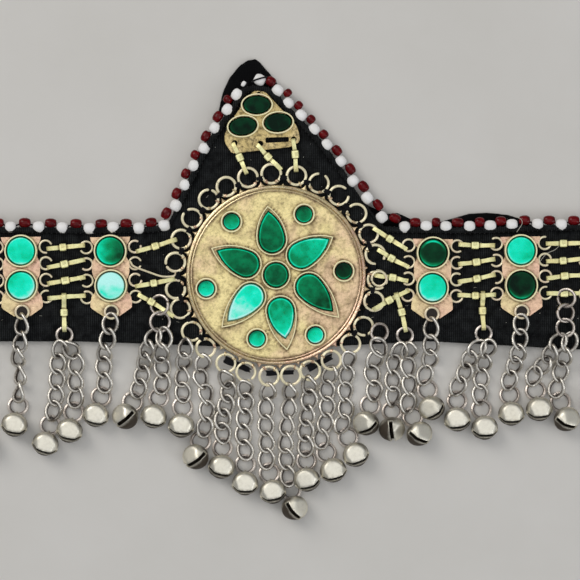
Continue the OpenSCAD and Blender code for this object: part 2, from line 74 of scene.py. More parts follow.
camera_data = bpy.data.cameras.new("camera")
camera_data.lens = camera_data.sensor_width * (CAMERA_HEIGHT - METAL_HEIGHT) / PHOTO_WIDTH
camera = add_object("camera", camera_data)
camera.location = (*PHOTO_CENTRE, CAMERA_HEIGHT)
scene.camera = camera


def soft_panel(name, place, size, watts, tint=(1, 1, 1)):
    data = bpy.data.lights.new(name, "AREA")
    data.size = size
    data.energy = watts
    data.color = tint
    panel = add_object(name, data)
    panel.location = place
    panel.rotation_euler = Vector(place).to_track_quat("Z", "Y").to_euler()


soft_panel("panel_overhead", (0.05, 0.0, 1.6), 2.2, 11)
soft_panel("panel_left", (-0.9, 0.85, 1.0), 0.9, 9, (1, 0.97, 0.93))
soft_panel("panel_right", (1.1, -0.6, 0.8), 0.6, 3.5, (0.95, 0.97, 1))

world = bpy.data.worlds.new("room")
scene.world = world
world.use_nodes = True
sky = world.node_tree.nodes["Background"].inputs
sky["Color"].default_value = ROOM_TONE
sky["Strength"].default_value = ROOM_LIGHT
scene.view_settings.view_transform = "Standard"
scene.view_settings.look = "None"
print("camera lens", round(camera_data.lens, 1), "mm")

# %% [markdown]
# ## A short way to write node trees
# Every finish below is a tree of nodes. One helper adds a node, sets its options and joins its
# inputs; a few more name the steps that come back again and again: a noise, a colour ramp, a mix.
# The same helper builds the Geometry Nodes trees later.

# %% Node helpers
def node(tree, kind, inputs=None, **options):
    """Adds a node. An input takes a plain value or the output of another node."""
    made = tree.nodes.new(kind)
    for key, value in options.items():
        setattr(made, key, value)
    for key, value in (inputs or {}).items():
        if isinstance(value, bpy.types.NodeSocket):
            tree.links.new(value, made.inputs[key])
        else:
            made.inputs[key].default_value = value
    return made


def maths(tree, operation, *values, clamp=False):
    inputs = dict(enumerate(values))
    return node(tree, "ShaderNodeMath", inputs, operation=operation, use_clamp=clamp).outputs[0]


def cloudy(tree, where, scale, detail=4.0, roughness=0.5):
    inputs = {"Vector": where, "Scale": scale, "Detail": detail, "Roughness": roughness}
    return node(tree, "ShaderNodeTexNoise", inputs).outputs[0]


def stretch(tree, value, low, high, to_low=0.0, to_high=1.0):
    inputs = {0: value, 1: low, 2: high, 3: to_low, 4: to_high}
    return node(tree, "ShaderNodeMapRange", inputs).outputs[0]


def blend(tree, factor, first, second, way="MIX"):
    inputs = {0: factor, 6: first, 7: second}
    return node(tree, "ShaderNodeMix", inputs, data_type="RGBA", blend_type=way).outputs[2]


def colours(tree, factor, stops):
    made = node(tree, "ShaderNodeValToRGB", {0: factor})
    steps = made.color_ramp.elements
    while len(steps) < len(stops):
        steps.new(1.0)
    for step, (place, colour) in zip(steps, stops):
        step.position = place
        step.color = (*colour, 1)
    return made.outputs[0]


def attribute(tree, name):
    return node(tree, "ShaderNodeAttribute", attribute_name=name).outputs["Fac"]


def relief(tree, height, depth, strength=1.0, under=None):
    inputs = {"Height": height, "Distance": depth * MM, "Strength": strength}
    if under is not None:
        inputs["Normal"] = under
    return node(tree, "ShaderNodeBump", inputs).outputs[0]


print("node helpers ready")

# %% [markdown]
# ## What every finish starts from
# Each finish needs a material, its shader, and the point on the piece in millimetres, so that clouds,
# ribs and specks keep their real size on every piece. `wear` joins the steps' results to the shader.

# %% A new finish
finish_names = []


def new_finish(name, **numbers):
    """A material with its shader, and the point on the piece in millimetres. Numbers with a name are
    set on the shader's sockets."""
    material = bpy.data.materials.new(name)
    material.use_nodes = True
    tree = material.node_tree
    shader = tree.nodes["Principled BSDF"]
    for key, value in numbers.items():
        shader.inputs[key.replace("_", " ")].default_value = value
    where = node(tree, "ShaderNodeTexCoord").outputs["Object"]
    where = node(tree, "ShaderNodeVectorMath", {0: where, "Scale": 1 / MM}, operation="SCALE").outputs[0]
    finish_names.append(name)
    return material, tree, shader, where


def wear(tree, shader, **sockets):
    for key, value in sockets.items():
        tree.links.new(value, shader.inputs[key.replace("_", " ")])


def flat(*rgb):
    return (*rgb, 1)


print("lists started: finishes", finish_names)

# %% [markdown]
# ## Aged metal
# Brass and silver that has been worn for years is bright where it rubs and dark in every corner.
# One recipe serves all the metals. It goes from a first to a second colour in large clouds, and each point's
# own tone shifts that, such as towards copper at the medallion's right. The darkening is dark and rough: it
# comes from the value stored in the mesh, which holds grime and also painted shade where pieces meet and in
# hollows, and from fine specks.

# %% Metal finishes
def aged_metal(name, bright, second, dark, clouds, spread=1.6, specks=0.5, rough=(0.22, 0.42), dents=0.12,
               shine=1.0, smudges=0.0):
    material, tree, shader, where = new_finish(name, Metallic=1.0)
    cloud = cloudy(tree, where, clouds, 3, 0.55)
    grain = cloudy(tree, where, 1.1, 6, 0.7)
    fine = cloudy(tree, where, 5.0, 3, 0.6)
    drift = stretch(tree, cloud, 0.3, 0.7, -0.5 * spread, 0.5 * spread)
    warmth = maths(tree, "ADD", attribute(tree, "tone"), drift, clamp=True)
    colour = blend(tree, warmth, flat(*bright), flat(*second))
    spots = stretch(tree, maths(tree, "MULTIPLY_ADD", fine, 0.35, grain), 0.62, 0.88, 0.0, specks)
    smudge = stretch(tree, cloudy(tree, where, 0.22, 5, 0.6), 0.46, 0.72, 0.0, smudges)
    # The stored value holds grime and painted shade; specks and smudges add stains.
    darkening = maths(tree, "ADD", attribute(tree, "grime_and_shade"), maths(tree, "ADD", spots, smudge), clamp=True)
    colour = blend(tree, darkening, colour, flat(*dark))
    uneven = maths(tree, "MULTIPLY_ADD", darkening, 0.7, grain)
    gloss = stretch(tree, uneven, 0.35, 1.1, rough[0], rough[1] + 0.15)
    height = maths(tree, "MULTIPLY_ADD", cloudy(tree, where, 0.45, 2), 2.0, fine)
    wear(tree, shader, Base_Color=colour, Roughness=gloss, Normal=relief(tree, height, dents, 0.5),
         Metallic=stretch(tree, darkening, 0.3, 1.0, shine, 0.35))
    return material


medallion_brass = aged_metal(
    "medallion_brass", (0.98, 0.83, 0.41), (0.90, 0.66, 0.42), (0.16, 0.10, 0.045),
    clouds=0.10, spread=1.8, specks=0.45, rough=(0.26, 0.40), dents=0.14, smudges=0.42)
plate_brass = aged_metal(
    "plate_brass", (0.93, 0.76, 0.42), (0.92, 0.60, 0.44), (0.15, 0.09, 0.05),
    clouds=0.15, spread=0.6, specks=0.35, smudges=0.3)
old_brass = aged_metal(
    "old_brass", (0.72, 0.56, 0.25), (0.92, 0.73, 0.38), (0.10, 0.075, 0.035),
    clouds=0.25, spread=2.0, specks=0.8, smudges=0.35)
bezel_brass = aged_metal(
    "bezel_brass", (1.0, 0.92, 0.55), (1.0, 0.84, 0.55), (0.14, 0.09, 0.04),
    clouds=0.3, spread=1.0, specks=0.1, rough=(0.25, 0.4), dents=0.08, shine=0.3)
wire_brass = aged_metal(
    "wire_brass", (1.0, 0.91, 0.62), (1.0, 0.79, 0.60), (0.12, 0.07, 0.04),
    clouds=0.25, spread=0.8, specks=0.1, rough=(0.26, 0.4), shine=0.3)
strip_brass = aged_metal(
    "strip_brass", (1.0, 0.97, 0.52), (1.0, 0.90, 0.44), (0.20, 0.15, 0.05),
    clouds=0.4, specks=0.12, rough=(0.3, 0.45), shine=0.85)
copper_solder = aged_metal(
    "copper_solder", (1.0, 0.84, 0.50), (0.94, 0.64, 0.46), (0.16, 0.08, 0.04),
    clouds=0.3, spread=1.0, specks=0.3)
chain_silver = aged_metal(
    "chain_silver", (0.92, 0.88, 0.80), (0.84, 0.78, 0.68), (0.05, 0.035, 0.025),
    clouds=0.3, spread=1.0, specks=0.3, rough=(0.24, 0.38))
ring_silver = aged_metal(
    "ring_silver", (0.92, 0.84, 0.76), (0.85, 0.75, 0.66), (0.06, 0.04, 0.03),
    clouds=0.3, spread=1.0, specks=0.3, rough=(0.24, 0.38))
bell_nickel = aged_metal(
    "bell_nickel", (0.90, 0.86, 0.74), (0.85, 0.80, 0.66), (0.06, 0.045, 0.03),
    clouds=0.16, spread=1.0, specks=0.12, rough=(0.40, 0.48), dents=0.03)
# This finish serves the bells' pellets and the dark dish that paints shade in the plaques' ring holes.
pellet_and_hole_shade = aged_metal(
    "pellet_and_hole_shade", (0.11, 0.085, 0.06), (0.07, 0.05, 0.03), (0.02, 0.014, 0.01), clouds=0.6)
print("metal finishes:", len(finish_names))

# %% [markdown]
# ## Cloth, thread and glass
# The band is a black ribbed cotton: fine ribs run from the hem to the peak, with the weft across
# them. The strap is a plain dull tape. White beads are opaque glass. Red ones are clear but so dark
# that a deep colour under a thin gloss shows the same.

# %% Cloth, thread and glass finishes
# A wave texture of this scale has one band in each millimetre
ONE_BAND = 0.314
WOBBLE = {"Distortion": 1.2, "Detail": 2.0, "Detail Scale": 0.6}


def woven(name, deep, raised, rib, weft, depth, sheen):
    """A ribbed cloth or twisted thread; rib and weft are the widths of one band in millimetres."""
    material, tree, shader, where = new_finish(
        name, Roughness=0.95, Specular_IOR_Level=0.15, Sheen_Weight=sheen, Sheen_Roughness=0.5)

    def bands(width, direction):
        inputs = {"Vector": where, "Scale": ONE_BAND / width, **WOBBLE}
        return node(tree, "ShaderNodeTexWave", inputs, bands_direction=direction).outputs[1]

    ribs = bands(rib, "X")
    rows = bands(weft, "Y")
    worn = cloudy(tree, where, 0.35, 5, 0.65)
    fuzz = cloudy(tree, where, 7.0, 3, 0.7)
    lift = maths(tree, "MULTIPLY_ADD", rows, 0.45, ribs)
    lift = maths(tree, "MULTIPLY_ADD", fuzz, 0.8, lift)
    shade = maths(tree, "MULTIPLY", stretch(tree, lift, 0.5, 2.0), stretch(tree, worn, 0.36, 0.7, 0.1, 1.0))
    wear(tree, shader, Base_Color=blend(tree, shade, flat(*deep), flat(*raised)),
         Normal=relief(tree, lift, depth, 0.8))
    return material


black_cloth = woven("black_cloth", (0.0012, 0.0014, 0.0017), (0.042, 0.046, 0.047), 0.62, 0.5, 0.14, 0.02)
strap_cloth = woven("strap_cloth", (0.001, 0.001, 0.0013), (0.006, 0.006, 0.007), 0.5, 0.5, 0.06, 0.01)
black_thread = woven("black_thread", (0.002, 0.002, 0.003), (0.02, 0.02, 0.024), 0.3, 0.3, 0.06, 0.1)
pale_thread = woven("pale_thread", (0.45, 0.43, 0.36), (0.85, 0.83, 0.74), 0.3, 0.3, 0.05, 0.2)


def bead_glass(name, body, cloud, rough):
    material, tree, shader, where = new_finish(
        name, Roughness=rough, Coat_Weight=0.1, Coat_Roughness=0.04, IOR=1.25)
    mixture = stretch(tree, cloudy(tree, where, 0.5, 3), 0.3, 0.7)
    specks = stretch(tree, cloudy(tree, where, 3.0, 4, 0.7), 0.6, 0.8, 0, 0.15)
    # Painted shade in the bead's hole, from the stored value, and specks of dust.
    dust_and_hole_shade = maths(tree, "ADD", attribute(tree, "grime_and_shade"), specks, clamp=True)
    colour = blend(tree, mixture, flat(*body), flat(*cloud))
    wear(tree, shader, Base_Color=blend(tree, dust_and_hole_shade, colour, flat(0.05, 0.02, 0.02)),
         Normal=relief(tree, cloudy(tree, where, 0.8, 2), 0.05, 0.4))
    return material


white_glass = bead_glass("white_glass", (0.97, 0.96, 0.95), (0.90, 0.88, 0.85), 0.25)
red_glass = bead_glass("red_glass", (0.17, 0.001, 0.003), (0.06, 0.001, 0.002), 0.12)
print("cloth, thread and bead finishes:", finish_names[-6:])

# %% [markdown]
# The stones are clear glass over crumpled green foil. Real refraction would be slow and noisy, so a
# mirror-like base takes the foil's place: it is coloured by each stone's tone, which paints how brightly its
# foil reflects, with creases in it, under a smooth clear coat that stays flat and sharp. The stored
# darkening paints shade at the stone's edge.

# %% Foil under glass
foil_glass, tree, shader, where = new_finish(
    "foil_glass", Metallic=0.97, Coat_Weight=0.25, Coat_Roughness=0.04, Coat_IOR=1.35)
# The foil's greens from the darkest tone to the brightest; the near-white end serves the painted highlights
FOIL_GREENS = [
    (0.0, (0.0, 0.010, 0.004)), (0.22, (0.0, 0.055, 0.018)), (0.45, (0.0, 0.27, 0.10)),
    (0.65, (0.0, 0.66, 0.36)), (0.82, (0.01, 0.90, 0.62)), (1.0, (0.50, 0.97, 0.90))]
CREASE_TONE, CRUMPLE_TONE = 0.08, 0.022
crease = cloudy(tree, where, 0.32, 2, 0.5)
crumple = cloudy(tree, where, 1.3, 4, 0.6)
creased = stretch(tree, crease, 0.3, 0.7, -CREASE_TONE, CREASE_TONE)
crumpled = stretch(tree, crumple, 0.3, 0.7, -CRUMPLE_TONE, CRUMPLE_TONE)
tone = maths(tree, "ADD", attribute(tree, "tone"), creased)
tone = maths(tree, "ADD", tone, crumpled, clamp=True)
# The stored value darkens the foil: painted shade at the stone's edge and at the upper left of the small
# stones.
green = blend(tree, attribute(tree, "grime_and_shade"), colours(tree, tone, FOIL_GREENS), flat(0.0, 0.012, 0.008))
wear(tree, shader, Base_Color=green, Roughness=stretch(tree, crumple, 0.3, 0.7, 0.22, 0.42),
     Normal=relief(tree, maths(tree, "MULTIPLY_ADD", crease, 2.0, crumple), 0.10, 0.6))
print("finishes in all:", len(finish_names))

# %% [markdown]
# ## The floor
# The part lies on a plain pale board. It isn't part of the object.

# %% Floor
FLOOR_TONE, FLOOR_CLOUD = flat(0.66, 0.64, 0.60), flat(0.70, 0.68, 0.645)
FLOOR_HALF = 1.5
floor_finish, tree, shader, where = new_finish("board", Roughness=0.7)
mottle = stretch(tree, cloudy(tree, where, 0.02, 4, 0.6), 0.3, 0.7)
wear(tree, shader, Base_Color=blend(tree, mottle, FLOOR_TONE, FLOOR_CLOUD))
floor_mesh = bpy.data.meshes.new("floor")
corners = [(x * FLOOR_HALF, y * FLOOR_HALF, 0) for x, y in ((-1, -1), (1, -1), (1, 1), (-1, 1))]
floor_mesh.from_pydata(corners, [], [(0, 1, 2, 3)])
floor_mesh.materials.append(floor_finish)
floor = add_object("floor", floor_mesh)
print("floor", 2 * FLOOR_HALF, "m wide")

# %% [markdown]
# ## Shapes for wire, strip, sheet and glass
# Jewellery like this is made from very few things: round wire, flat strip and thin sheet. So a few
# helpers make nearly all of it. `swept` pulls a section along a path, and `skin` joins closed loops
# into a wall. All of them work in millimetres and give back points and faces.

# %% Paths and walls
UP = np.array([0.0, 0.0, 1.0])


def unit(vectors):
    return vectors / np.linalg.norm(vectors, axis=-1, keepdims=True)


def wall_faces(rings, sides, closed, capped=True):
    faces = []
    for i in range(rings if closed else rings - 1):
        j = (i + 1) % rings
        for k in range(sides):
            m = (k + 1) % sides
            faces.append((i * sides + k, i * sides + m, j * sides + m, j * sides + k))
    if capped and not closed:
        faces.append(tuple(range(sides - 1, -1, -1)))
        faces.append(tuple((rings - 1) * sides + k for k in range(sides)))
    return faces


def skin(loops, closed=False):
    loops = [np.asarray(loop, float) for loop in loops]
    return np.concatenate(loops), wall_faces(len(loops), len(loops[0]), closed)


def swept(path, section, across=UP, closed=False, size=None):
    """A section pulled along a path. The section's first axis leans towards `across`, and `size`
    scales it at each point of the path, with one number or with one for each axis."""
    path, section = np.asarray(path, float), np.asarray(section, float)
    ahead, behind = np.roll(path, -1, 0), np.roll(path, 1, 0)
    if not closed:
        ahead[-1], behind[0] = path[-1], path[0]
    along = unit(ahead - behind)
    across = np.broadcast_to(np.asarray(across, float), path.shape)
    side = unit(across - along * (across * along).sum(1, keepdims=True))
    other = np.cross(along, side)
    scale = np.ones((len(path), 2)) if size is None else np.broadcast_to(
        np.asarray(size, float).reshape(len(path), -1), (len(path), 2))
    points = (path[:, None] + scale[:, None, :1] * section[None, :, :1] * side[:, None]
              + scale[:, None, 1:] * section[None, :, 1:] * other[:, None])
    return points.reshape(-1, 3), wall_faces(len(path), len(section), closed)


def circle(radius, sides):
    angles = np.arange(sides) * 2 * math.pi / sides
    return np.stack([radius * np.cos(angles), radius * np.sin(angles)], 1)


def bar_section(thick, wide, soft):
    """A flat strip's section with rounded corners: thick along the first axis, wide along the second."""
    a, b = thick / 2, wide / 2
    return [(-a + soft, -b), (a - soft, -b), (a, -b + soft), (a, b - soft), (a - soft, b), (-a + soft, b),
            (-a, b - soft), (-a, -b + soft)]


def at_height(outline, z):
    return np.column_stack([outline, np.full(len(outline), float(z))])


print("a tube of four rings has", len(skin([at_height(circle(1, 8), z) for z in range(4)])[1]), "faces")

# %% [markdown]
# Round wire is a circle swept along its path, with rounded ends where it is cut. A ring may be open,
# squashed, or sprung, with one end over the other. `grown` moves an outline out and keeps it sharp.

# %% Wire, rings and outlines
def wire(path, radius, sides=8, across=UP, closed=False):
    """Round wire along a path, with rounded ends where it is open."""
    path = np.asarray(path, float)
    size = np.ones(len(path))
    if not closed:
        head, tail = unit(path[0] - path[1]), unit(path[-1] - path[-2])
        steps, sizes = (1.0, 0.87, 0.5), (0.12, 0.5, 0.87)
        path = np.vstack([[path[0] + head * radius * s for s in steps], path,
                          [path[-1] + tail * radius * s for s in reversed(steps)]])
        size = np.concatenate([sizes, size, sizes[::-1]])
    return swept(path, circle(radius, sides), across, closed, size)


def placed(shape, at=(0, 0, 0), turn=(0, 0, 0)):
    spin = np.array(Euler([math.radians(a) for a in turn]).to_matrix())
    return np.asarray(shape[0]) @ spin.T + np.asarray(at, float), shape[1]


def ring(radius, thick, gap=0.0, start=0.0, rise=0.0, steps=28, sides=8, squash=1.0):
    """A ring of wire in the XY plane. With a gap it is open; `rise` lifts one end over the other."""
    if gap == 0 and rise == 0:
        angles = np.radians(start) + np.arange(steps) * 2 * math.pi / steps
        path = np.stack([radius * np.cos(angles), squash * radius * np.sin(angles), 0 * angles], 1)
        return wire(path, thick, sides, UP, True)
    angles = np.radians(start + gap / 2 + (360 - gap) * np.arange(steps) / (steps - 1))
    lift = rise * (np.arange(steps) / (steps - 1) - 0.5)
    path = np.stack([radius * np.cos(angles), squash * radius * np.sin(angles), lift], 1)
    return wire(path, thick, sides)


def grown(outline, distance):
    """The outline moved outwards by a distance, its corners kept sharp."""
    outline = np.asarray(outline, float)
    step = unit(np.roll(outline, -1, 0) - outline)
    after = np.stack([step[:, 1], -step[:, 0]], 1)
    before = np.roll(after, 1, 0)
    corner = unit(before + after)
    return outline + corner * distance / (corner * before).sum(1, keepdims=True)


def moved(outline, at, turn=0.0):
    """The flat outline turned by some degrees about the origin, then moved."""
    a = math.radians(turn)
    return np.asarray(outline) @ np.array([[math.cos(a), math.sin(a)], [-math.sin(a), math.cos(a)]]) + at


print("a closed wire ring has", len(ring(1, 0.1)[0]), "points")

# %% [markdown]
# ## From shapes to meshes and back
# A mesh keeps one value or vector for each point under a name, which finishes and trees can read.
# Modifiers do some shaping later; `baked` applies them and clears their helpers away.

# %% Meshes
def store(mesh, name, values, kind="FLOAT"):
    """Writes one value or one vector for each point into the mesh."""
    layer = mesh.attributes.new(name, kind, "POINT")
    key = "value" if kind == "FLOAT" else "vector"
    layer.data.foreach_set(key, np.asarray(values, np.float32).ravel())


def shape_of(mesh):
    points = np.array([v.co for v in mesh.vertices]).reshape(-1, 3) / MM
    return points, [tuple(p.vertices) for p in mesh.polygons]


def grime_and_shade_of(mesh):
    values = np.zeros(len(mesh.vertices), np.float32)
    mesh.attributes["grime_and_shade"].data.foreach_get("value", values)
    return values


def baked(holder, *tools):
    """The holder's mesh with its modifiers applied. The holder and its tools are then removed."""
    bpy.context.view_layer.update()
    made = bpy.data.meshes.new_from_object(holder.evaluated_get(bpy.context.evaluated_depsgraph_get()))
    for used in (holder, *tools):
        bpy.data.objects.remove(used)
    return made


print("values kept at each point: tone and grime")

# %% [markdown]
# ## A workpiece, and how it is fitted
# A `Workpiece` collects shapes with a finish, a tone and a value for grime and painted shade, and makes them
# one mesh. `fit` puts that mesh on the part: it rides on the body and stands for the CAD nodes that it
# replaces, which it hides. Points that would lie below the floor are lifted onto it.

# %% Workpiece and fit
class Workpiece:
    """Shapes of one piece, in millimetres, with a finish number per face and two values per point."""

    def __init__(self):
        self.points, self.faces, self.finishes, self.tones, self.grime_and_shade_values = [], [], [], [], []
        self.count = 0

    def add(self, shape, finish=0, tone=0.0, grime_and_shade=0.0):
        points, faces = shape
        self.points.append(np.asarray(points, float))
        self.faces += [tuple(self.count + i for i in face) for face in faces]
        self.finishes += [finish] * len(faces)
        self.tones.append(np.broadcast_to(np.asarray(tone, float), len(points)))
        self.grime_and_shade_values.append(np.broadcast_to(np.asarray(grime_and_shade, float), len(points)))
        self.count += len(points)
        return self

    def mesh(self, name, finishes, sharp=38):
        made = bpy.data.meshes.new(name)
        made.from_pydata((np.concatenate(self.points) * MM).tolist(), [], self.faces)
        for finish in finishes:
            made.materials.append(finish)
        made.polygons.foreach_set("material_index", self.finishes)
        store(made, "tone", np.concatenate(self.tones))
        store(made, "grime_and_shade", np.concatenate(self.grime_and_shade_values))
        made.shade_smooth()
        made.set_sharp_from_angle(angle=math.radians(sharp))
        return made


# The least height of any point above the floor
LOWEST = 0.03


def fit(name, work, finishes, nodes=(), sharp=38):
    """Puts a finished workpiece on the part, in the place of the CAD nodes that it stands for."""
    mesh = work.mesh(name, finishes, sharp)
    for vertex in mesh.vertices:
        vertex.co.z = max(vertex.co.z, LOWEST * MM)
    piece = add_object(name, mesh)
    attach(piece, "root")
    if nodes:
        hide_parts(*nodes)
    triangles = sum(len(p.vertices) - 2 for p in mesh.polygons)
    print(f"{name}: {len(mesh.vertices)} points, {triangles} triangles")
    return piece


print("least height above the floor:", LOWEST, "mm")

# %% [markdown]
# ## The medallion
# A brass disc with two wires soldered round its rim, thin bezel walls for thirteen stones, and a
# border of 27 wire rings, some of them sprung open. Its measures come first, read off the
# photograph; each ring strays a little from its even place.

# %% Medallion measures
METAL_Z = 3.1
METAL_TOP = 3.95
WIRE_Z = 3.525
PLATE_R = 26.95
BORDER_R = 30.45
RING_R = 2.875
RING_WIRE = 0.45
BEZEL_TOP = 5.25
STONE_ROOM = 0.2
# Degrees by which each border ring strays from its even place
RING_TURN = [0, 1, 1, 1, 2, 2, 1, 2, 1, 3, 2, 3, 3, 1, 0, 0, -1, 0, -1, 0, -2, 0, 0, 0, 1, 0, 0]
RING_START = -2.7
RING_COUNT = len(RING_TURN)
CENTRE_STONE_R = 3.8
PETAL_R = 4.1
SMALL_STONE_R = 2.6
PETAL_TIP_WALL = 0.65
# Petals: x, y of the round end, direction of the tip, reach of the setting and of the stone
PETALS = [(-1.2, 10.6, 97.4, 10.4, 8.8), (7.5, 5.9, 29.9, 11.3, 10), (9.9, -3.6, -45.6, 13, 10.4),
          (1.4, -10.7, -80.8, 12.1, 8.6), (-7.5, -6.5, -133.6, 12.9, 10.4), (-8.9, 3.3, 155.7, 11.7, 9.9)]
SMALL_STONES = [(-13.3, 16), (8.4, 18.2), (20.3, 1.2), (11.8, -18), (-5.7, -19.1), (-20.9, -4.1)]


def ring_angle(i):
    return math.radians(90 - (RING_START + 360 * i / RING_COUNT + RING_TURN[i]))


def ring_centre(i):
    a = ring_angle(i)
    return np.array([BORDER_R * math.cos(a), BORDER_R * math.sin(a)])


print("border rings:", RING_COUNT, "petals:", len(PETALS), "small stones:", len(SMALL_STONES))

# %% [markdown]
# A petal is a teardrop: half a circle, then two arcs that meet in a point. Each bezel is a wall skinned
# through seven loops, with a foot that spreads into the plate. The distance to a setting's outline is needed
# later, for the darkening along it: patina and painted shade.

# %% Outlines and bezels
def leaf(radius, reach):
    """A teardrop outline: half a circle, then two arcs that meet in a point at +Y."""
    side = (reach * reach + radius * radius) / (2 * radius)
    tip = math.asin(reach / side)
    low = [(radius * math.cos(a), radius * math.sin(a)) for a in np.radians(np.arange(-180, 0, 12))]
    right = [(radius - side + side * math.cos(tip * k / 7), side * math.sin(tip * k / 7)) for k in range(7)]
    left = [(-x, y) for x, y in reversed(right[1:])]
    return np.array(low + right + [(0, reach)] + left)


def petal(radius, reach, place):
    return moved(leaf(radius, reach), place[:2], place[2] - 90)


settings = [circle(CENTRE_STONE_R + STONE_ROOM, 40)]
settings += [petal(PETAL_R + STONE_ROOM, p[3] - PETAL_TIP_WALL, p) for p in PETALS]
settings += [moved(circle(SMALL_STONE_R + STONE_ROOM, 32), p) for p in SMALL_STONES]
SETTING_WALLS = [0.32] * 7 + [0.42] * 6


def bezel(outline, wall, low=METAL_TOP, high=BEZEL_TOP, foot=0.18):
    """A thin wall round a stone, with a soldered foot outside and a rounded top."""
    steps = [(wall + foot, low - 0.05), (wall + 0.06, low + 0.22), (wall, high - 0.13), (wall * 0.92, high),
             (wall * 0.08, high), (0.0, high - 0.13), (0.0, low - 0.05)]
    shape = skin([at_height(grown(outline, d), z) for d, z in steps], closed=True)
    # The foot is darkened a little, with patina and painted shade, and the inner base under the stone fully,
    # as painted shade.
    darkening = np.repeat([0.5, 0.15, 0.0, 0.0, 0.0, 0.1, 1.0], len(outline))
    return shape, darkening


def distance_to(outline, points):
    """Distance of each point to a closed outline, and whether it lies inside."""
    best = np.full(len(points), 1e9)
    inside = np.zeros(len(points), bool)
    for a, b in zip(outline, np.roll(outline, -1, 0)):
        edge = b - a
        t = np.clip(((points - a) @ edge) / (edge @ edge), 0, 1)
        best = np.minimum(best, np.linalg.norm(points - a - t[:, None] * edge, axis=1))
        crosses = (a[1] > points[:, 1]) != (b[1] > points[:, 1])
        with np.errstate(divide="ignore", invalid="ignore"):
            x = a[0] + (points[:, 1] - a[1]) / (b[1] - a[1]) * edge[0]
        inside ^= crosses & (points[:, 0] < x)
    return best, inside


print("settings:", len(settings))

# %% [markdown]
# The disc is a polar grid, so it can carry shallow dents and the dark lines along each wall and rim wire,
# which are patina and painted shade; under the stones it is kept a little dark, as painted shade. Its tone
# turns coppery towards the lower right, as in the photograph.

# %% Medallion plate
# Rim wires: radius of the ring, radius of the wire
RIM_WIRES = [(26.4, 0.46), (25.45, 0.22)]
SPOKES = 168
# Dark lines along walls and wires, patina and painted shade: their darkest value and reach; then the painted
# shade kept under the stones
WALL_DARK_TOP, WALL_DARK_REACH, UNDER_GLASS_SHADE = 0.9, 0.33, 0.15
DENT_SIZE, DENT_DEPTH, DENTS_END = 4.5, 0.10, 25
medallion = Workpiece()
radii = np.concatenate([[0.4], np.arange(1.2, 24.8, 0.8), [25.1, 25.45, 25.8, 26.1, 26.5, PLATE_R]])
plate_points = np.concatenate([at_height(circle(r, SPOKES), METAL_TOP) for r in radii[::-1]])
gap = np.full(len(plate_points), 9.0)
under_glass = np.zeros(len(plate_points), bool)
for outline in settings:
    away, within = distance_to(grown(outline, 0.5), plate_points[:, :2])
    gap = np.minimum(gap, away)
    under_glass |= within
plate_r = np.linalg.norm(plate_points[:, :2], axis=1)
for radius, thick in RIM_WIRES:
    gap = np.minimum(gap, np.abs(plate_r - radius) - thick)
plate_patina_and_shade = WALL_DARK_TOP * np.exp(-np.maximum(gap, 0) / WALL_DARK_REACH)
plate_patina_and_shade = np.maximum(plate_patina_and_shade, UNDER_GLASS_SHADE * under_glass)
dents = np.array([noise.noise(Vector((x / DENT_SIZE, y / DENT_SIZE, 3))) for x, y, _ in plate_points])
inner = plate_r < DENTS_END
plate_points[inner, 2] += DENT_DEPTH * dents[inner]
copper = np.clip((plate_points[:, 0] - 4) / 26 - plate_points[:, 1] / 90, 0, 0.8)

# The plate's underside and lower rim close the shape
below = [at_height(circle(r, SPOKES), METAL_Z) for r in (0.4, 14, PLATE_R - 0.1)]
below.append(at_height(circle(PLATE_R, SPOKES), METAL_Z + 0.12))
hidden = np.ones(len(below) * SPOKES)
plate = (np.vstack([*below, plate_points]), wall_faces(len(below) + len(radii), SPOKES, False))
# The hidden underside and lower rim are painted half dark, as shade.
medallion.add(plate, 0, np.concatenate([0.3 * hidden, copper]), np.concatenate([0.5 * hidden, plate_patina_and_shade]))
print("plate points:", len(plate_points), "of which under glass:", under_glass.sum())

# %% [markdown]
# Two wires lie along the rim, the outer one thick and the inner one fine. They wave by a hair. A bezel
# goes round each stone's place.

# %% Rim wires and settings
for radius, thick in RIM_WIRES:
    shape = ring(radius, thick, steps=150)
    turn = np.arctan2(shape[0][:, 1], shape[0][:, 0])
    shape[0][:, 2] += METAL_TOP + 0.02 * np.sin(turn * 9 + radius)
    # The wires' undersides are painted dark, as shade.
    darkening = np.where(shape[0][:, 2] < METAL_TOP, 0.7, 0.0)
    medallion.add(shape, 2, np.clip(np.cos(turn + 0.6), 0, 1), darkening)
for outline, thick in zip(settings, SETTING_WALLS):
    shape, darkening = bezel(outline, thick, foot=0.1)
    medallion.add(shape, 3, 0.1, darkening)
print("walls and wires added, medallion points:", medallion.count)

# %% [markdown]
# The border rings come next. A fixed seed draws which way each one leans, and a list says which ones have
# sprung open and towards where, because the photograph shows it. Between two rings a flat tongue of solder
# runs out from the rim, and two small blobs hold each ring at its foot.

# %% Border rings and solder
chance = random.Random(5)
# Rings that have sprung open: which way the gap points, and its width, in degrees
OPEN_RINGS = {2: (70, 48), 3: (20, 60), 4: (150, 40), 6: (-60, 70), 7: (-40, 36), 9: (-70, 30),
              12: (-120, 26), 15: (-60, 24), 17: (-90, 30), 19: (60, 44), 20: (40, 60), 21: (200, 26),
              23: (130, 40), 24: (80, 30), 26: (-30, 26)}
CLOSED_GAP = 8
SOLDER_REACH, SOLDER_FEET = 2.75, (-34, 34)


def between_rings(i):
    """The direction from the medallion's middle to the gap after border ring i."""
    last = i == RING_COUNT - 1
    angle = (ring_angle(i) + ring_angle((i + 1) % RING_COUNT)) / 2 + (math.pi if last else 0)
    return np.array([math.cos(angle), math.sin(angle), 0])


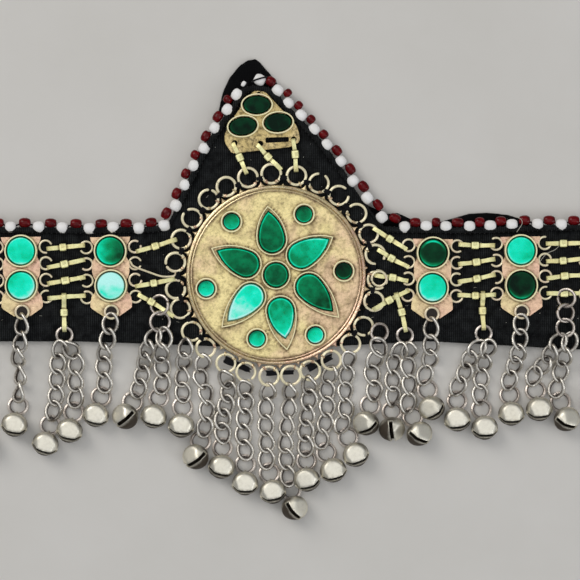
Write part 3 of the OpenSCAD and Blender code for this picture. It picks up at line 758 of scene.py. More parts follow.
share = np.linspace(0, 1, 7)
blob_line = np.linspace(-1, 1, 6)[:, None] * np.array([0.75, 0, 0])
blob = swept(blob_line, circle(1, 8), UP, False, np.sqrt(1 - (np.linspace(-0.97, 0.97, 6)) ** 2) * 0.5)
for i in range(RING_COUNT):
    opening, gap_angle = OPEN_RINGS.get(i, (chance.uniform(0, 360), CLOSED_GAP))
    shape = ring(RING_R + chance.uniform(-0.08, 0.05), RING_WIRE * chance.uniform(0.86, 1.0), gap_angle,
                 opening, 0.25, 30, 8, chance.uniform(0.96, 1.0))
    lean = (chance.uniform(-2.5, 2.5), chance.uniform(-2.5, 2.5), 0)
    centre = ring_centre(i)
    shape = placed(shape, (*centre, WIRE_Z), lean)
    away = np.linalg.norm(shape[0][:, :2], axis=1) - PLATE_R
    medallion.add(shape, 1, np.clip(0.3 - away / 3, 0, 1), np.clip(0.25 - away / 1.5, 0, 0.25))
    out = between_rings(i)
    reach = chance.uniform(1.0, 1.9)
    path = out * (PLATE_R - 0.5 + reach * share)[:, None] + UP * (WIRE_Z - 0.02)
    width = chance.uniform(1.1, 1.6) * (1 - share) ** 1.6 + 0.12
    tongue = swept(path, circle(1, 10), UP, False, np.column_stack([0.42 * (1 - 0.35 * share), width]))
    medallion.add(tongue, 2, np.clip(0.5 * out[0] - 0.5 * out[1] + chance.uniform(-0.2, 0.3), 0, 1), 0.2)
    for foot in SOLDER_FEET:
        spot = moved([-SOLDER_REACH * unit(centre)], centre, foot)[0]
        shape = placed(blob, (*spot, WIRE_Z + 0.1), (0, 0, chance.uniform(0, 180)))
        medallion.add(shape, 2, chance.random(), 0.2)
finishes = [medallion_brass, wire_brass, copper_solder, bezel_brass]
fit("medallion_body", medallion, finishes, ["medallion"])

# %% [markdown]
# Black thread lashes most rings to their neighbours. A lashing is one thread wound round and round
# in the gap. Three long ones run under the wires of several rings.

# %% Ring lashings
# Ring before each long lashing: half its length, and half its width
LONG_LASHINGS = {11: (4.2, 0.95), 13: (4.1, 0.65), 15: (4.4, 0.9)}
SHORT_LASHING = (1.15, 0.6)
NO_LASHING = (10, 12, 14, 16)
LASHING_IN, LASHING_RISE = 1.05, 0.64
lashings = Workpiece()
for i in range(RING_COUNT):
    if i in NO_LASHING:
        continue
    out = between_rings(i)
    aside = np.cross(UP, out)
    half_long, half_wide = LONG_LASHINGS.get(i, SHORT_LASHING)
    turns = 3 + int(4 * half_wide)
    t = np.linspace(0, turns * 2 * math.pi, turns * 14)
    spread_out = np.linspace(-half_wide, half_wide, len(t)) * [chance.uniform(0.9, 1.05) for _ in t]
    reach = half_long * np.interp(t, np.arange(turns + 1) * 2 * math.pi,
                                  [chance.uniform(0.78, 1.05) for _ in range(turns + 1)])
    spread_out = spread_out * (1 + chance.choice([-0.25, 0.25]) * np.cos(t))
    low = 0.42 if i in LONG_LASHINGS else 0.0
    path = (out * (BORDER_R - LASHING_IN + spread_out)[:, None] + aside * (np.cos(t) * reach)[:, None]
            + UP * (WIRE_Z - low + (LASHING_RISE - 0.3 * low) * np.sin(t))[:, None])
    lashings.add(wire(path, 0.19, 6, out))
fit("ring_lashings", lashings, [black_thread], sharp=60)

# %% [markdown]
# ## Glass stones
# Each stone is flat glass with a bevelled edge over green foil. A stone is skinned inwards from its outline:
# wall, bevel, and a low dome. Its tone value paints how brightly its foil reflects, and a slope across the
# stone paints one side lighter and the other darker, as in the photograph. The stones lean a little along
# that slope. A painted glow lights the lower side, where light would enter at the bevel, a painted line
# lights the bevel, and painted shade darkens the edge by the wall and, on some stones, the upper left.

# %% Stones
STONE_Z = 4.05
STONE_TOP = 4.95
DOME = 0.12
DOME_SHARES = (1.0, 0.965, 0.92, 0.86, 0.78, 0.66, 0.5, 0.3, 0.1)
# Painted light and shade on the stones: shade at the edge by the wall, a bright line on the bevel, and the
# sides where the glow, the glint and the upper-left shade fall
STONE_EDGE_SHADE = [1.0, 1.0, 0.95, 0.3] + [0.0] * 8
PAINTED_BEVEL_LINE = [0, 0, 0, 0.7, 1.0, 0.3] + [0.0] * 6
PAINTED_GLOW_SIDE, PAINTED_GLINT_SIDE, PAINTED_SHADE_SIDE = (-0.3, -0.95), (0.05, 1.0), (-0.5, 0.87)
LEAN, SLOPE_SHADING = 0.16, 0.55


def stone(work, outline, tone, slope, bevel=0.42, low=STONE_Z, painted_glow=0.45, line=0.1, painted_glint=0.0, shade=0.0):
    """Painted light and shade: the glow brightens the lower side, the line the bevel and the glint the upper
    edge; the shade darkens the upper left.
    """
    outline = np.asarray(outline, float)
    middle = outline.mean(0)
    reach = np.linalg.norm(outline - middle, axis=1).max()
    face = grown(outline, -bevel)
    loops = [at_height(grown(outline, -0.15), low), at_height(outline, low + 0.15),
             at_height(outline, STONE_TOP - 0.32)]
    for share in DOME_SHARES:
        loops.append(at_height(middle + (face - middle) * share, STONE_TOP + DOME * (1 - share * share)))
    points, faces = skin(loops)
    local = (points[:, :2] - middle) / reach
    out = np.linalg.norm(local, axis=1)

    def facing(side):
        return np.clip(local @ np.array(side) / np.maximum(out, 0.05), 0, 1)

    rise = local @ np.array(slope)
    points[:, 2] += np.where(points[:, 2] > STONE_TOP - 0.4, -LEAN * rise, 0)
    tones = tone + SLOPE_SHADING * rise
    tones += painted_glow * (1 - tone) * np.clip((out - 0.60) / 0.28, 0, 1) * facing(PAINTED_GLOW_SIDE) ** 1.5
    tones += line * np.repeat(PAINTED_BEVEL_LINE, len(outline))
    tones += painted_glint * np.exp(-((out - 0.80) / 0.05) ** 2) * facing(PAINTED_GLINT_SIDE) ** 2
    dark = shade * np.clip((out - 0.55) / 0.3, 0, 1) * facing(PAINTED_SHADE_SIDE)
    dark += np.repeat(STONE_EDGE_SHADE, len(outline))
    work.add((points, faces), 0, np.clip(tones, 0, 1), np.clip(dark, 0, 1))


def fit_stones(name, work, node_name):
    fit(name, work, [foil_glass], [node_name], 25)


# %% [markdown]
# The tones below paint how bright each stone's foil looks in the photograph, as judged from it.

# %% Stones of the medallion
# Tone of each petal's foil, which paints how brightly it reflects, and its slope in x and y, which paints
# one side lighter
PETAL_TONES = [(0.31, (0.0, 0.2)), (0.53, (0.1, 0.15)), (0.34, (-0.2, 0.15)), (0.54, (0.15, -0.3)),
               (0.80, (-0.2, -0.25)), (0.34, (-0.1, 0.15))]
# Tone of each small stone's foil, which paints how brightly it reflects
SMALL_TONES = [0.46, 0.33, 0.09, 0.72, 0.60, 0.62]
stones = Workpiece()
stone(stones, circle(CENTRE_STONE_R, 40), 0.31, (0.05, 0.1), painted_glow=0.1, line=0.25)
fit_stones("centre_glass", stones, "centre_stone")

stones = Workpiece()
for place, (tone, slope) in zip(PETALS, PETAL_TONES):
    stone(stones, petal(PETAL_R, place[4], place), tone, slope, painted_glow=0.1, line=0.3)
fit_stones("petal_glass", stones, "petal_stones")

stones = Workpiece()
for place, tone in zip(SMALL_STONES, SMALL_TONES):
    outline = moved(circle(SMALL_STONE_R, 32), place)
    stone(stones, outline, tone, (0.1, -0.2), 0.3, painted_glow=0.15, line=0.2, shade=0.75)
fit_stones("round_glass", stones, "round_stones")

# %% [markdown]
# ## Things in rows, with Geometry Nodes
# Chain links, beads, stitches and flecks of lint are one small shape set down many times. Geometry
# Nodes do that well, and the rule stays readable. One tree walks along paths and sets a shape down
# at an even spacing, turned with the path. Another sets a shape down on given points. Both end by
# realizing the copies and setting their finish.

# %% Trees that repeat a shape
def new_tree(name, sockets):
    tree = bpy.data.node_groups.new(name, "GeometryNodeTree")
    tree.interface.new_socket("Geometry", in_out="INPUT", socket_type="NodeSocketGeometry")
    for label, kind in sockets:
        tree.interface.new_socket(label, in_out="INPUT", socket_type=kind)
    tree.interface.new_socket("Geometry", in_out="OUTPUT", socket_type="NodeSocketGeometry")
    return tree, tree.nodes.new("NodeGroupInput").outputs


def named(tree, name, kind="FLOAT"):
    return node(tree, "GeometryNodeInputNamedAttribute", {"Name": name}, data_type=kind).outputs[0]


def set_down(tree, sockets, points, rotation, size):
    """Puts the shape on the points, makes the copies real, sets the finish and ends the tree."""
    shape = node(tree, "GeometryNodeObjectInfo", {"Object": sockets["Shape"]}).outputs["Geometry"]
    roll = node(tree, "FunctionNodeRandomValue", {"Seed": sockets["Seed"]}, data_type="FLOAT")
    tree.links.new(maths(tree, "MULTIPLY", sockets["Roll jitter"], -1.0), roll.inputs[2])
    tree.links.new(sockets["Roll jitter"], roll.inputs[3])
    twist = node(tree, "ShaderNodeCombineXYZ", {2: roll.outputs[1]}).outputs[0]
    twist = node(tree, "FunctionNodeEulerToRotation", {0: twist}).outputs[0]
    turns = {0: rotation, 1: twist}
    turned = node(tree, "FunctionNodeRotateRotation", turns, rotation_space="LOCAL").outputs[0]
    copies = node(tree, "GeometryNodeInstanceOnPoints",
                  {"Points": points, "Instance": shape, "Rotation": turned, "Scale": size}).outputs[0]
    real = node(tree, "GeometryNodeRealizeInstances", {0: copies}).outputs[0]
    done = node(tree, "GeometryNodeSetMaterial", {0: real, "Material": sockets["Finish"]}).outputs[0]
    node(tree, "NodeGroupOutput", {0: done})


SOCKETS = [("Shape", "NodeSocketObject"), ("Spacing", "NodeSocketFloat"), ("Roll jitter", "NodeSocketFloat"),
           ("Seed", "NodeSocketInt"), ("Finish", "NodeSocketMaterial")]

along_paths, sockets = new_tree("shapes_along_paths", SOCKETS)
line = node(along_paths, "GeometryNodeMeshToCurve", {0: sockets["Geometry"]}).outputs[0]
line = node(along_paths, "GeometryNodeSetCurveNormal", {0: line}, mode="Z_UP").outputs[0]
roll_field = named(along_paths, "roll")
line = node(along_paths, "GeometryNodeSetCurveTilt", {0: line, "Tilt": roll_field}).outputs[0]
whole = node(along_paths, "GeometryNodeSplineLength").outputs["Length"]
steps = maths(along_paths, "ROUND", maths(along_paths, "DIVIDE", whole, sockets["Spacing"]))
even = maths(along_paths, "MULTIPLY", maths(along_paths, "DIVIDE", whole, steps), 0.9999)
spots = node(along_paths, "GeometryNodeCurveToPoints", {0: line, "Length": even}, mode="LENGTH")
axes = {0: spots.outputs["Tangent"], 1: spots.outputs["Normal"]}
facing = node(along_paths, "FunctionNodeAxesToRotation", axes, primary_axis="Z", secondary_axis="X")
set_down(along_paths, sockets, spots.outputs["Points"], facing.outputs[0], named(along_paths, "girth"))

on_points, sockets = new_tree("shapes_on_points", SOCKETS)
heading_field = named(on_points, "heading", "FLOAT_VECTOR")
facing = node(on_points, "FunctionNodeAlignRotationToVector", {"Vector": heading_field}, axis="Z").outputs[0]
set_down(on_points, sockets, sockets["Geometry"], facing, named(on_points, "size", "FLOAT_VECTOR"))
print("trees:", along_paths.name, on_points.name)

# %% [markdown]
# To run a tree, its source mesh and its shape become objects for a moment. The result comes back as
# points and faces, like any other shape.

# %% Running the trees
def repeated(tree, source, shape, spacing, jitter, seed, finish):
    """Runs a tree on a source mesh. Gives back the copies in millimetres, and their stored values of grime
    and painted shade.
    """
    holder, pattern = add_object("holder", source), add_object("pattern", shape)
    modifier = holder.modifiers.new("repeat", "NODES")
    modifier.node_group = tree
    values = {"Shape": pattern, "Spacing": float(spacing * MM), "Roll jitter": float(math.radians(jitter)),
              "Seed": seed, "Finish": finish}
    for item in tree.interface.items_tree:
        if item.in_out == "INPUT" and item.name in values:
            modifier[item.identifier] = values[item.name]
    made = baked(holder, pattern)
    return shape_of(made), grime_and_shade_of(made)


def paths_mesh(paths, rolls, girths):
    """Open paths as one mesh of edges. Each has a roll in degrees, and a girth for all its points or
    for each."""
    mesh = bpy.data.meshes.new("paths")
    starts = np.cumsum([0] + [len(path) for path in paths])
    edges = [(start + k, start + k + 1) for start, path in zip(starts, paths) for k in range(len(path) - 1)]
    mesh.from_pydata((np.vstack(paths) * MM).tolist(), edges, [])
    for name, values in (("roll", np.radians(rolls)), ("girth", girths)):
        store(mesh, name, np.concatenate([np.broadcast_to(v, len(path)) for path, v in zip(paths, values)]))
    return mesh


def spots_mesh(centres, headings, sizes):
    mesh = bpy.data.meshes.new("spots")
    mesh.from_pydata((np.asarray(centres) * MM).tolist(), [], [])
    store(mesh, "heading", headings, "FLOAT_VECTOR")
    store(mesh, "size", sizes, "FLOAT_VECTOR")
    return mesh


def smooth_path(points, steps=8):
    """A smooth line through the points (Catmull-Rom)."""
    p = np.asarray(points, float)
    p = np.vstack([2 * p[0] - p[1], p, 2 * p[-1] - p[-2]])
    made = []
    for a, b, c, d in zip(p, p[1:], p[2:], p[3:]):
        bend, swing = 2 * a - 5 * b + 4 * c - d, 3 * b - a - 3 * c + d
        for t in np.arange(steps) / steps:
            made.append(0.5 * (2 * b + (c - a) * t + bend * t ** 2 + swing * t ** 3))
    return np.array(made + [p[-2]])


print("a smooth path through three points has", len(smooth_path([(0, 0), (1, 1), (2, 0)])), "points")

# %% [markdown]
# ## The cloth band
# The band is black cotton, folded over a lining and hemmed below, with a pointed peak. It lies flat,
# so its form is given by its cut, and no cloth simulation is needed. The outlines follow the
# photograph; the strap's outline is partly hidden there and guessed.

# %% Outlines of the cloth
HALF_BAND = 120
TOP_LINE = np.array([
    (-120, 13.3), (-56, 13), (-35.5, 13.3), (-31.9, 14.8), (-28.9, 20.7), (-20.7, 37.7), (-8.7, 55.7),
    (-2.6, 55.4), (12.1, 40.4), (26.1, 21.8), (32.6, 13.2), (60, 12.9), (82, 13.8), (120, 13.6)])
BOTTOM_LINE = np.array([
    (-120, -20), (-60, -20), (-30, -21), (0, -22.3), (30, -20.8), (45, -19.9), (90, -22.4), (120, -22.8)])
STRAP_OUTLINE = np.array([
    (-17.4, 49.4), (-10, 44), (-3, 44), (6, 34), (18, 20), (28, 9), (38, 7), (52, 6), (64, 8), (80, 3.5),
    (88, 3), (88, 12), (80, 13.5), (73.2, 17.2), (70, 18.2), (63.6, 18.9), (58, 18.5), (53.4, 17.2),
    (46, 15), (39.6, 17.4), (36.5, 18.9), (33, 18.4), (26, 22), (2, 52), (0.2, 58.2), (-1.9, 60.8),
    (-4.8, 64.1), (-6.1, 65.2), (-8.6, 64.8), (-11.1, 63.1), (-14.1, 59.5), (-16.2, 54.9)])
CLOTH_TOP, CLOTH_MIDDLE, CLOTH_LOW = 2.74, 1.45, 0.05
STRAP_ROOM = 1.48
HEM = 3.6
# The lining stops here in x and y, and the cloth is thinner beyond it
LINING_EDGE = (78, -20.2)


def wavy(x, y, reach, layer=0.0):
    """Smooth noise whose waves are about `reach` millimetres long."""
    spots = zip(x.ravel() / reach, y.ravel() / reach)
    return np.array([noise.noise(Vector((a, b, layer))) for a, b in spots]).reshape(x.shape)


def smooth_step(value):
    value = np.clip(value, 0, 1)
    return value * value * (3 - 2 * value)


# %% [markdown]
# The band is built in columns between the lower and the upper edge, as a closed sheet. Rows stand
# closer near the edges, so that they can be rounded.

# %% Cloth band in columns
EDGE_STEPS = np.array([0, 0.15, 0.5, 1.0])
COLUMN_STEP, ROWS, EDGE_BAND = 0.8, 44, 1.4
EDGE_ROUND = 1.1
columns = np.arange(-118.2, 118.3, COLUMN_STEP)
xs = np.concatenate([-HALF_BAND + EDGE_STEPS, columns, HALF_BAND - EDGE_STEPS[::-1]])
low_y = np.interp(xs, *BOTTOM_LINE.T)[:, None]
high_y = np.interp(xs, *TOP_LINE.T)[:, None]
span = high_y - low_y - 2 * EDGE_BAND
inner_rows = low_y + EDGE_BAND + span * np.linspace(0, 1, ROWS)[1:-1]
y = np.column_stack([low_y + EDGE_STEPS, inner_rows, high_y - EDGE_STEPS[::-1]])
x = np.repeat(xs[:, None], y.shape[1], 1)
steep = 1 / np.sqrt(1 + np.gradient(high_y[:, 0], xs) ** 2)[:, None]
from_edge = np.minimum(np.minimum(y - low_y, (high_y - y) * steep), HALF_BAND - np.abs(x))
edge_points = (from_edge <= 1e-6)
round_off = np.sqrt(1 - (1 - np.clip(from_edge / EDGE_ROUND, 0, 1)) ** 2)
print("cloth grid:", x.shape)

# %% [markdown]
# The hem's seam is a shallow groove with small puckers, the cloth swells gently between seams, and
# underneath it lifts over the strap.

# %% Cloth surface
SEAM_DEPTH, SEAM_HALF, HEM_LIFT = 0.30, 0.3, 0.07
PUCKER, PUCKER_TURNS, PUCKER_REACH = 0.09, 2.1, 1.5
LINING_DEPTH = 0.6
over_hem = y - low_y - HEM
over_end = HALF_BAND - np.abs(x) - HEM
seam = np.minimum(np.abs(over_hem), np.abs(over_end))
height = CLOTH_MIDDLE + (CLOTH_TOP - CLOTH_MIDDLE) * round_off
height += 0.10 * wavy(x, y, 13) + 0.05 * wavy(x, y, 3.5, 4)
height += -SEAM_DEPTH * np.exp(-(seam / SEAM_HALF) ** 2) + HEM_LIFT * (over_hem < 0)
height += PUCKER * np.sin(x * PUCKER_TURNS + 3 * wavy(x, y, 9, 2)) * np.exp(-(over_hem / PUCKER_REACH) ** 2)
height -= LINING_DEPTH * smooth_step((LINING_EDGE[1] - y) / 0.4) * smooth_step((x - LINING_EDGE[0]) / 4)
height = np.where(edge_points, CLOTH_MIDDLE, np.maximum(height, CLOTH_MIDDLE + 0.05))
away, inside = distance_to(STRAP_OUTLINE, np.column_stack([x.ravel(), y.ravel()]))
over_strap = smooth_step((np.where(inside, away, -away).reshape(x.shape) + 1.0) / 0.8)
under = CLOTH_MIDDLE - (CLOTH_MIDDLE - CLOTH_LOW) * round_off
under = under + (STRAP_ROOM - under) * over_strap * (under < STRAP_ROOM)
under = np.minimum(under, height - 0.5 * round_off)

# The upper and the lower skin share the points along the edge
body = ~edge_points
top_ids = np.arange(x.size).reshape(x.shape)
low_ids = top_ids.copy()
low_ids[body] = x.size + np.arange(body.sum())
points = np.vstack([np.column_stack([x.ravel(), y.ravel(), height.ravel()]),
                    np.column_stack([x[body], y[body], under[body]])])
faces = []
for i in range(x.shape[0] - 1):
    for j in range(x.shape[1] - 1):
        corners = ((i, j), (i + 1, j), (i + 1, j + 1), (i, j + 1))
        faces.append(tuple(int(top_ids[c]) for c in corners))
        faces.append(tuple(int(low_ids[c]) for c in reversed(corners)))
cloth = Workpiece().add((points, faces))
cloth_band = fit("cloth_band", cloth, [black_cloth], ["cloth_backing"], 80)

# %% [markdown]
# ## Edge roll and stitches
# The beads are whipped to the cloth's upper edge over a narrow rolled hem, which covers their lower
# side. The roll is a soft tube along that edge; it gets thinner beside the medallion's rings. Slanted
# stitches go over it.

# %% Edge roll
def even_path(points, step):
    points = np.asarray(points, float)
    travel = np.concatenate([[0], np.cumsum(np.linalg.norm(np.diff(points, axis=0), axis=1))])
    marks = np.linspace(0, travel[-1], int(travel[-1] / step) + 1)
    return np.column_stack([np.interp(marks, travel, points[:, k]) for k in range(points.shape[1])])


def eased(path, rounds):
    path = path.copy()
    for _ in range(rounds):
        path[1:-1] = (path[:-2] + 2 * path[1:-1] + path[2:]) / 4
    return path


ROLL_R = 0.85
STITCH_R, STITCH_WIRE, STITCH_PITCH = 0.92, 0.17, 1.45
NEAR_BORDER, BORDER_FADE = 34.2, 2.2
edge = eased(even_path(TOP_LINE, 0.9), 4)
edge = edge[(np.abs(edge[:, 0]) < HALF_BAND - 0.6)]
step = unit(np.gradient(edge, axis=0))
outward = np.column_stack([-step[:, 1], step[:, 0]])
clear = smooth_step((np.linalg.norm(edge, axis=1) - NEAR_BORDER) / BORDER_FADE)
edge_girth = 0.42 + 0.58 * clear
roll_path = np.column_stack([edge + outward * (0.1 + 0.35 * clear)[:, None], 2.75 + 0.85 * clear])
count = np.arange(len(edge))
roll_path[:, 2] += 0.08 * np.sin(count * 0.9)
roll_work = Workpiece()
lumps = edge_girth * (1 + 0.05 * np.sin(count * 1.7))
roll_work.add(swept(roll_path, circle(ROLL_R, 10), UP, False, lumps))
turn = np.radians(np.linspace(-35, 215, 11))
stitch_arc = np.column_stack([STITCH_R * np.cos(turn), STITCH_R * np.sin(turn), np.linspace(-0.3, 0.3, 11)])
stitch = Workpiece().add(wire(stitch_arc, STITCH_WIRE, 5)).mesh("whip_stitch", [black_thread], 60)
source = paths_mesh([roll_path], [0], [edge_girth])
roll_work.add(repeated(along_paths, source, stitch, STITCH_PITCH, 9, 3, black_thread)[0], 1)
edge_roll = fit("edge_roll", roll_work, [black_cloth, black_thread], sharp=60)

# %% [markdown]
# A running stitch holds the lower hem.

# %% Hem stitches
HEM_STITCH_HALF, HEM_STITCH_WIRE, HEM_STITCH_PITCH = 0.62, 0.16, 2.1
hem_x = np.arange(-118, 118.1, 1.0)
hem_y = np.interp(hem_x, *BOTTOM_LINE.T) + HEM
hem_path = np.column_stack([hem_x, hem_y, np.full(len(hem_x), CLOTH_TOP - 0.26)])
dip = np.array([0.12, 0.0, -0.05, 0.0, 0.12])
bar = np.column_stack([0 * dip, -dip, np.linspace(-HEM_STITCH_HALF, HEM_STITCH_HALF, len(dip))])
stitch = Workpiece().add(wire(bar, HEM_STITCH_WIRE, 5, (1, 0, 0))).mesh("hem_stitch", [black_thread], 60)
source = paths_mesh([hem_path], [0], [1.0])
hem = Workpiece().add(repeated(along_paths, source, stitch, HEM_STITCH_PITCH, 6, 8, black_thread)[0])
hem_stitches = fit("hem_stitches", hem, [black_thread], sharp=60)

# %% [markdown]
# ## Tie strap
# The strap behind the cloth is thin soft tape. It is cut from its outline, remeshed into small faces,
# smoothed and given shallow folds, which are deeper where it lies free above the band.

# %% Tie strap
STRAP_LOW, STRAP_TOP, STRAP_WIDE = 0.06, 1.3, 11.5
VOXEL = 0.42
STRAP_LINE = [(-12, 48), (-13.5, 55), (-8, 62.5), (-3, 60), (-0.5, 54), (30, 13.5), (60, 13), (84, 8)]
tape = bpy.data.meshes.new("tape")
strap_points, strap_faces = skin([at_height(STRAP_OUTLINE, z) for z in (STRAP_LOW, STRAP_TOP)])
tape.from_pydata((strap_points * MM).tolist(), [], strap_faces)
holder = add_object("tape", tape)
remesh = holder.modifiers.new("remesh", "REMESH")
remesh.mode = "VOXEL"
remesh.voxel_size = VOXEL * MM
relax = holder.modifiers.new("relax", "SMOOTH")
relax.factor = 0.5
relax.iterations = 6
points, faces = shape_of(baked(holder))
middle_line = even_path(STRAP_LINE, 1.0)
to_middle = np.min(np.linalg.norm(points[:, None, :2] - middle_line[None], axis=2), axis=1)
fold = 0.16 * np.cos(to_middle * 1.5) + 0.10 * wavy(points[:, 0], points[:, 1], 5.5, 7)
upper = smooth_step((points[:, 2] - 0.4) / 0.6)
free = smooth_step((points[:, 1] - np.interp(points[:, 0], *TOP_LINE.T) - 0.5) / 2)
points[:, 2] += upper * (0.08 * fold + 0.55 * np.abs(fold) * free)
strap_work = Workpiece().add((points, faces))
strap = fit("tie_strap_cloth", strap_work, [strap_cloth], ["tie_strap"], 80)

# %% [markdown]
# ## Seed beads
# White and dark red glass beads alternate on a black thread along the upper edge. A bead is a short glass
# tube with round shoulders and a hole, turned from a profile. The white ones are listed one by one, as they
# were counted in the photograph, and a red one sits between each two, a little outside the row.

# %% Bead rows
BEAD_Z, WHITE_LONG, RED_OUTSIDE = 3.3, 3.4, 1.3
OUTER_PITCH = 7.6
LEFT_BAND = [(-79.7 - OUTER_PITCH * k, 14.3) for k in range(5, 0, -1)] + [
    (-79.7, 14.4), (-71.2, 14.4), (-64.2, 14.2), (-56, 14), (-48.9, 14.3), (-41.2, 14.1), (-33.6, 14.9)]
PEAK_LEFT = [(-30.1, 20.9), (-27.3, 27), (-24.6, 32.8), (-21.6, 38), (-18.3, 44.1), (-14.5, 49.6),
             (-11.7, 54.1)]
PEAK_RIGHT = [(-4.9, 58.6), (0.5, 55.4), (3.7, 51.6), (7.5, 47.9), (11.4, 43.7), (15.2, 39.1), (19.4, 34.1),
              (23.1, 28.3), (27.4, 23.2), (31.8, 17.4)]
RIGHT_BAND = [(38.6, 14.4), (45.1, 14.6), (51, 14.5), (58.1, 14.5), (64.3, 14.7), (70.8, 15.1), (78.5, 15.2),
              (85.6, 15.1)] + [(85.6 + OUTER_PITCH * k, 15) for k in range(1, 5)]
# White beads of each row, and the white bead of another row that its thread comes from
BEAD_ROWS = {"left_band": (LEFT_BAND, []), "peak_left": (PEAK_LEFT, LEFT_BAND[-1:]),
             "peak_right": (PEAK_RIGHT, []), "right_band": (RIGHT_BAND, PEAK_RIGHT[-1:])}
# A bead's profile of radius and height, for a bead of length one: the outside, then the hole
PROFILE = [(1.12, -0.48), (1.50, -0.36), (1.76, -0.15), (1.76, 0.15), (1.50, 0.36), (1.12, 0.48),
           (0.66, 0.5), (0.42, 0.42), (0.42, -0.42), (0.66, -0.5)]
# The inside of the hole is painted darker, as shade.
BEAD_HOLE_SHADE = [0, 0, 0, 0, 0, 0, 0.2, 0.8, 0.8, 0.2]
BEAD_SIDES = 16


def red_place(p, q):
    """Place, direction and length of the red bead between two white ones."""
    length = np.linalg.norm(q - p)
    v = (q - p) / length
    spot = (p + q) / 2 + (RED_OUTSIDE + 0.5 * max(0, 6 - length)) * np.array([-v[1], v[0]])
    return spot, v, min(3.4, max(2.3, length - WHITE_LONG + 0.1))


def add_beads(work, poses, jitter, seed, glass, finish):
    """Sets a bead down at each pose: centre, heading, and size across and along."""
    bead = Workpiece().add(skin([at_height(circle(r, BEAD_SIDES), z) for r, z in PROFILE], True), 0, 0,
                           np.repeat(BEAD_HOLE_SHADE, BEAD_SIDES)).mesh("bead", [white_glass], 70)
    shape, darkening = repeated(on_points, spots_mesh(*zip(*poses)), bead, 1, jitter, seed, glass)
    work.add(shape, finish, 0, darkening)


print("white beads:", sum(len(whites) for whites, joined in BEAD_ROWS.values()))

# %% [markdown]
# Beads cut from a glass tube are never quite alike, so a seed varies each one's girth and length and
# lets it lean a little. The thread runs through them all, from row to row.

# %% Seed beads on their thread
# The thread passes over the strap at the peak, and a tiny bead sits below it
TINY_BEAD = ((-9.7, 57.4, BEAD_Z - 0.3), (0.5, 0.86, 0), (0.42, 0.42, 1.7))
TINY_KNOT = (-8.6, 57.6)
OVER_STRAP = [(-7.2, 58.1, 3.0), (-6.3, 58.4, 4.7), (-4.9, 58.8, 5.3), (-3.5, 59.2, 4.7), (-2.6, 59.4, 3.0)]
luck = random.Random(21)


def bead_pose(place, along, wide_from, wide_to, long, long_from, long_to):
    heading = (*along, luck.uniform(-0.05, 0.05))
    wide = luck.uniform(wide_from, wide_to)
    return (*place, BEAD_Z), heading, (wide, wide, long * luck.uniform(long_from, long_to))


for name, (whites, joined) in BEAD_ROWS.items():
    whites = np.array(whites, float)
    strung = np.array([*joined, *whites], float)
    ahead = unit(whites[[*range(1, len(whites)), -1]] - whites[[0, *range(len(whites) - 1)]])
    work = Workpiece()
    poses = [bead_pose(p, v, 0.95, 1.0, WHITE_LONG, 0.95, 1.04) for p, v in zip(whites, ahead)]
    add_beads(work, poses, 180, 5, white_glass, 0)
    thread, poses = [], []
    for p, q in zip(strung, strung[1:]):
        spot, v, length = red_place(p, q)
        poses.append(bead_pose(spot, v, 0.78, 0.86, length, 0.97, 1.03))
        thread += [p, spot]
    thread.append(strung[-1])
    if name == "peak_left":
        add_beads(work, [TINY_BEAD], 0, 1, white_glass, 0)
        thread.append(TINY_KNOT)
        work.add(wire(smooth_path(OVER_STRAP, 5), 0.26, 6), 2)
    add_beads(work, poses, 180, 9, red_glass, 1)
    work.add(wire(smooth_path([(*p, BEAD_Z) for p in thread], 4), 0.28, 6), 2)
    finishes = [white_glass, red_glass, black_thread]
    fit(f"beads_{name}_glass", work, finishes, [f"beads_{name}"], 50)

# %% [markdown]
# ## Plaques
# Six small plates of thin brass each carry two round settings, four wire rings down each side and one
# below. They were made to one pattern by hand, so one function makes them all and a seed varies them:
# how far each side ring has sprung open, how the lower wings are bent, and how coppery a corner is.
# A plate is a grid of strips between its two edges, which lets its wings bend.

# %% Plaque measures
# Plaques: x, y, turn
PLAQUES = [(-103.2, 2, 0), (-76.4, 2, 1), (-49.6, 2, 1), (47, 1.4, -1), (73.5, 2.1, 1), (100.2, 2, 0)]
# Half the plate's width, given at heights from the top to the lower point
PLAQUE_HALF = [(9.4, 6.0), (8.2, 5.8), (6.8, 4.8), (3.6, 4.7), (1.8, 5.5), (0, 5.6), (-1.8, 5.5),
               (-3.6, 4.7), (-7, 4.8), (-8.4, 5.9), (-10.2, 6.2), (-11.8, 6.2), (-14.4, 2.4)]
PLAQUE_LOW, PLAQUE_HIGH = METAL_Z + 0.15, METAL_Z + 0.72
STONE_HALF_PITCH = 5.2
PLAQUE_STONE_R = 4.38
SIDE_RING_X, SIDE_RING_TOP, SIDE_RING_PITCH = 7.3, 6.4, 5
SIDE_RING_R, SIDE_RING_WIRE = 1.84, 0.33
BOTTOM_RING_Y, BOTTOM_RING_R, BOTTOM_RING_WIRE = -13.1, 1.98, 0.34
# Degrees by which a side ring may have sprung open
GAPS = [10, 60, 80, 95, 110]
# Radius and height of the dark dish inside the bottom ring, which paints the shade in its hole
HOLE_SHADE_DISH = [(1.7, 3.7), (1.7, 3.98), (0.9, 3.9), (0.05, 3.86)]


def on_plaque(i, point):
    return moved([point], PLAQUES[i][:2], PLAQUES[i][2])[0]


def side_ring(i, side, k):
    """The middle of side ring k; those of the right plaques sit one millimetre higher."""
    top = SIDE_RING_TOP + (1.0 if i > 2 else 0.0)
    return on_plaque(i, (side * SIDE_RING_X, top - SIDE_RING_PITCH * k))


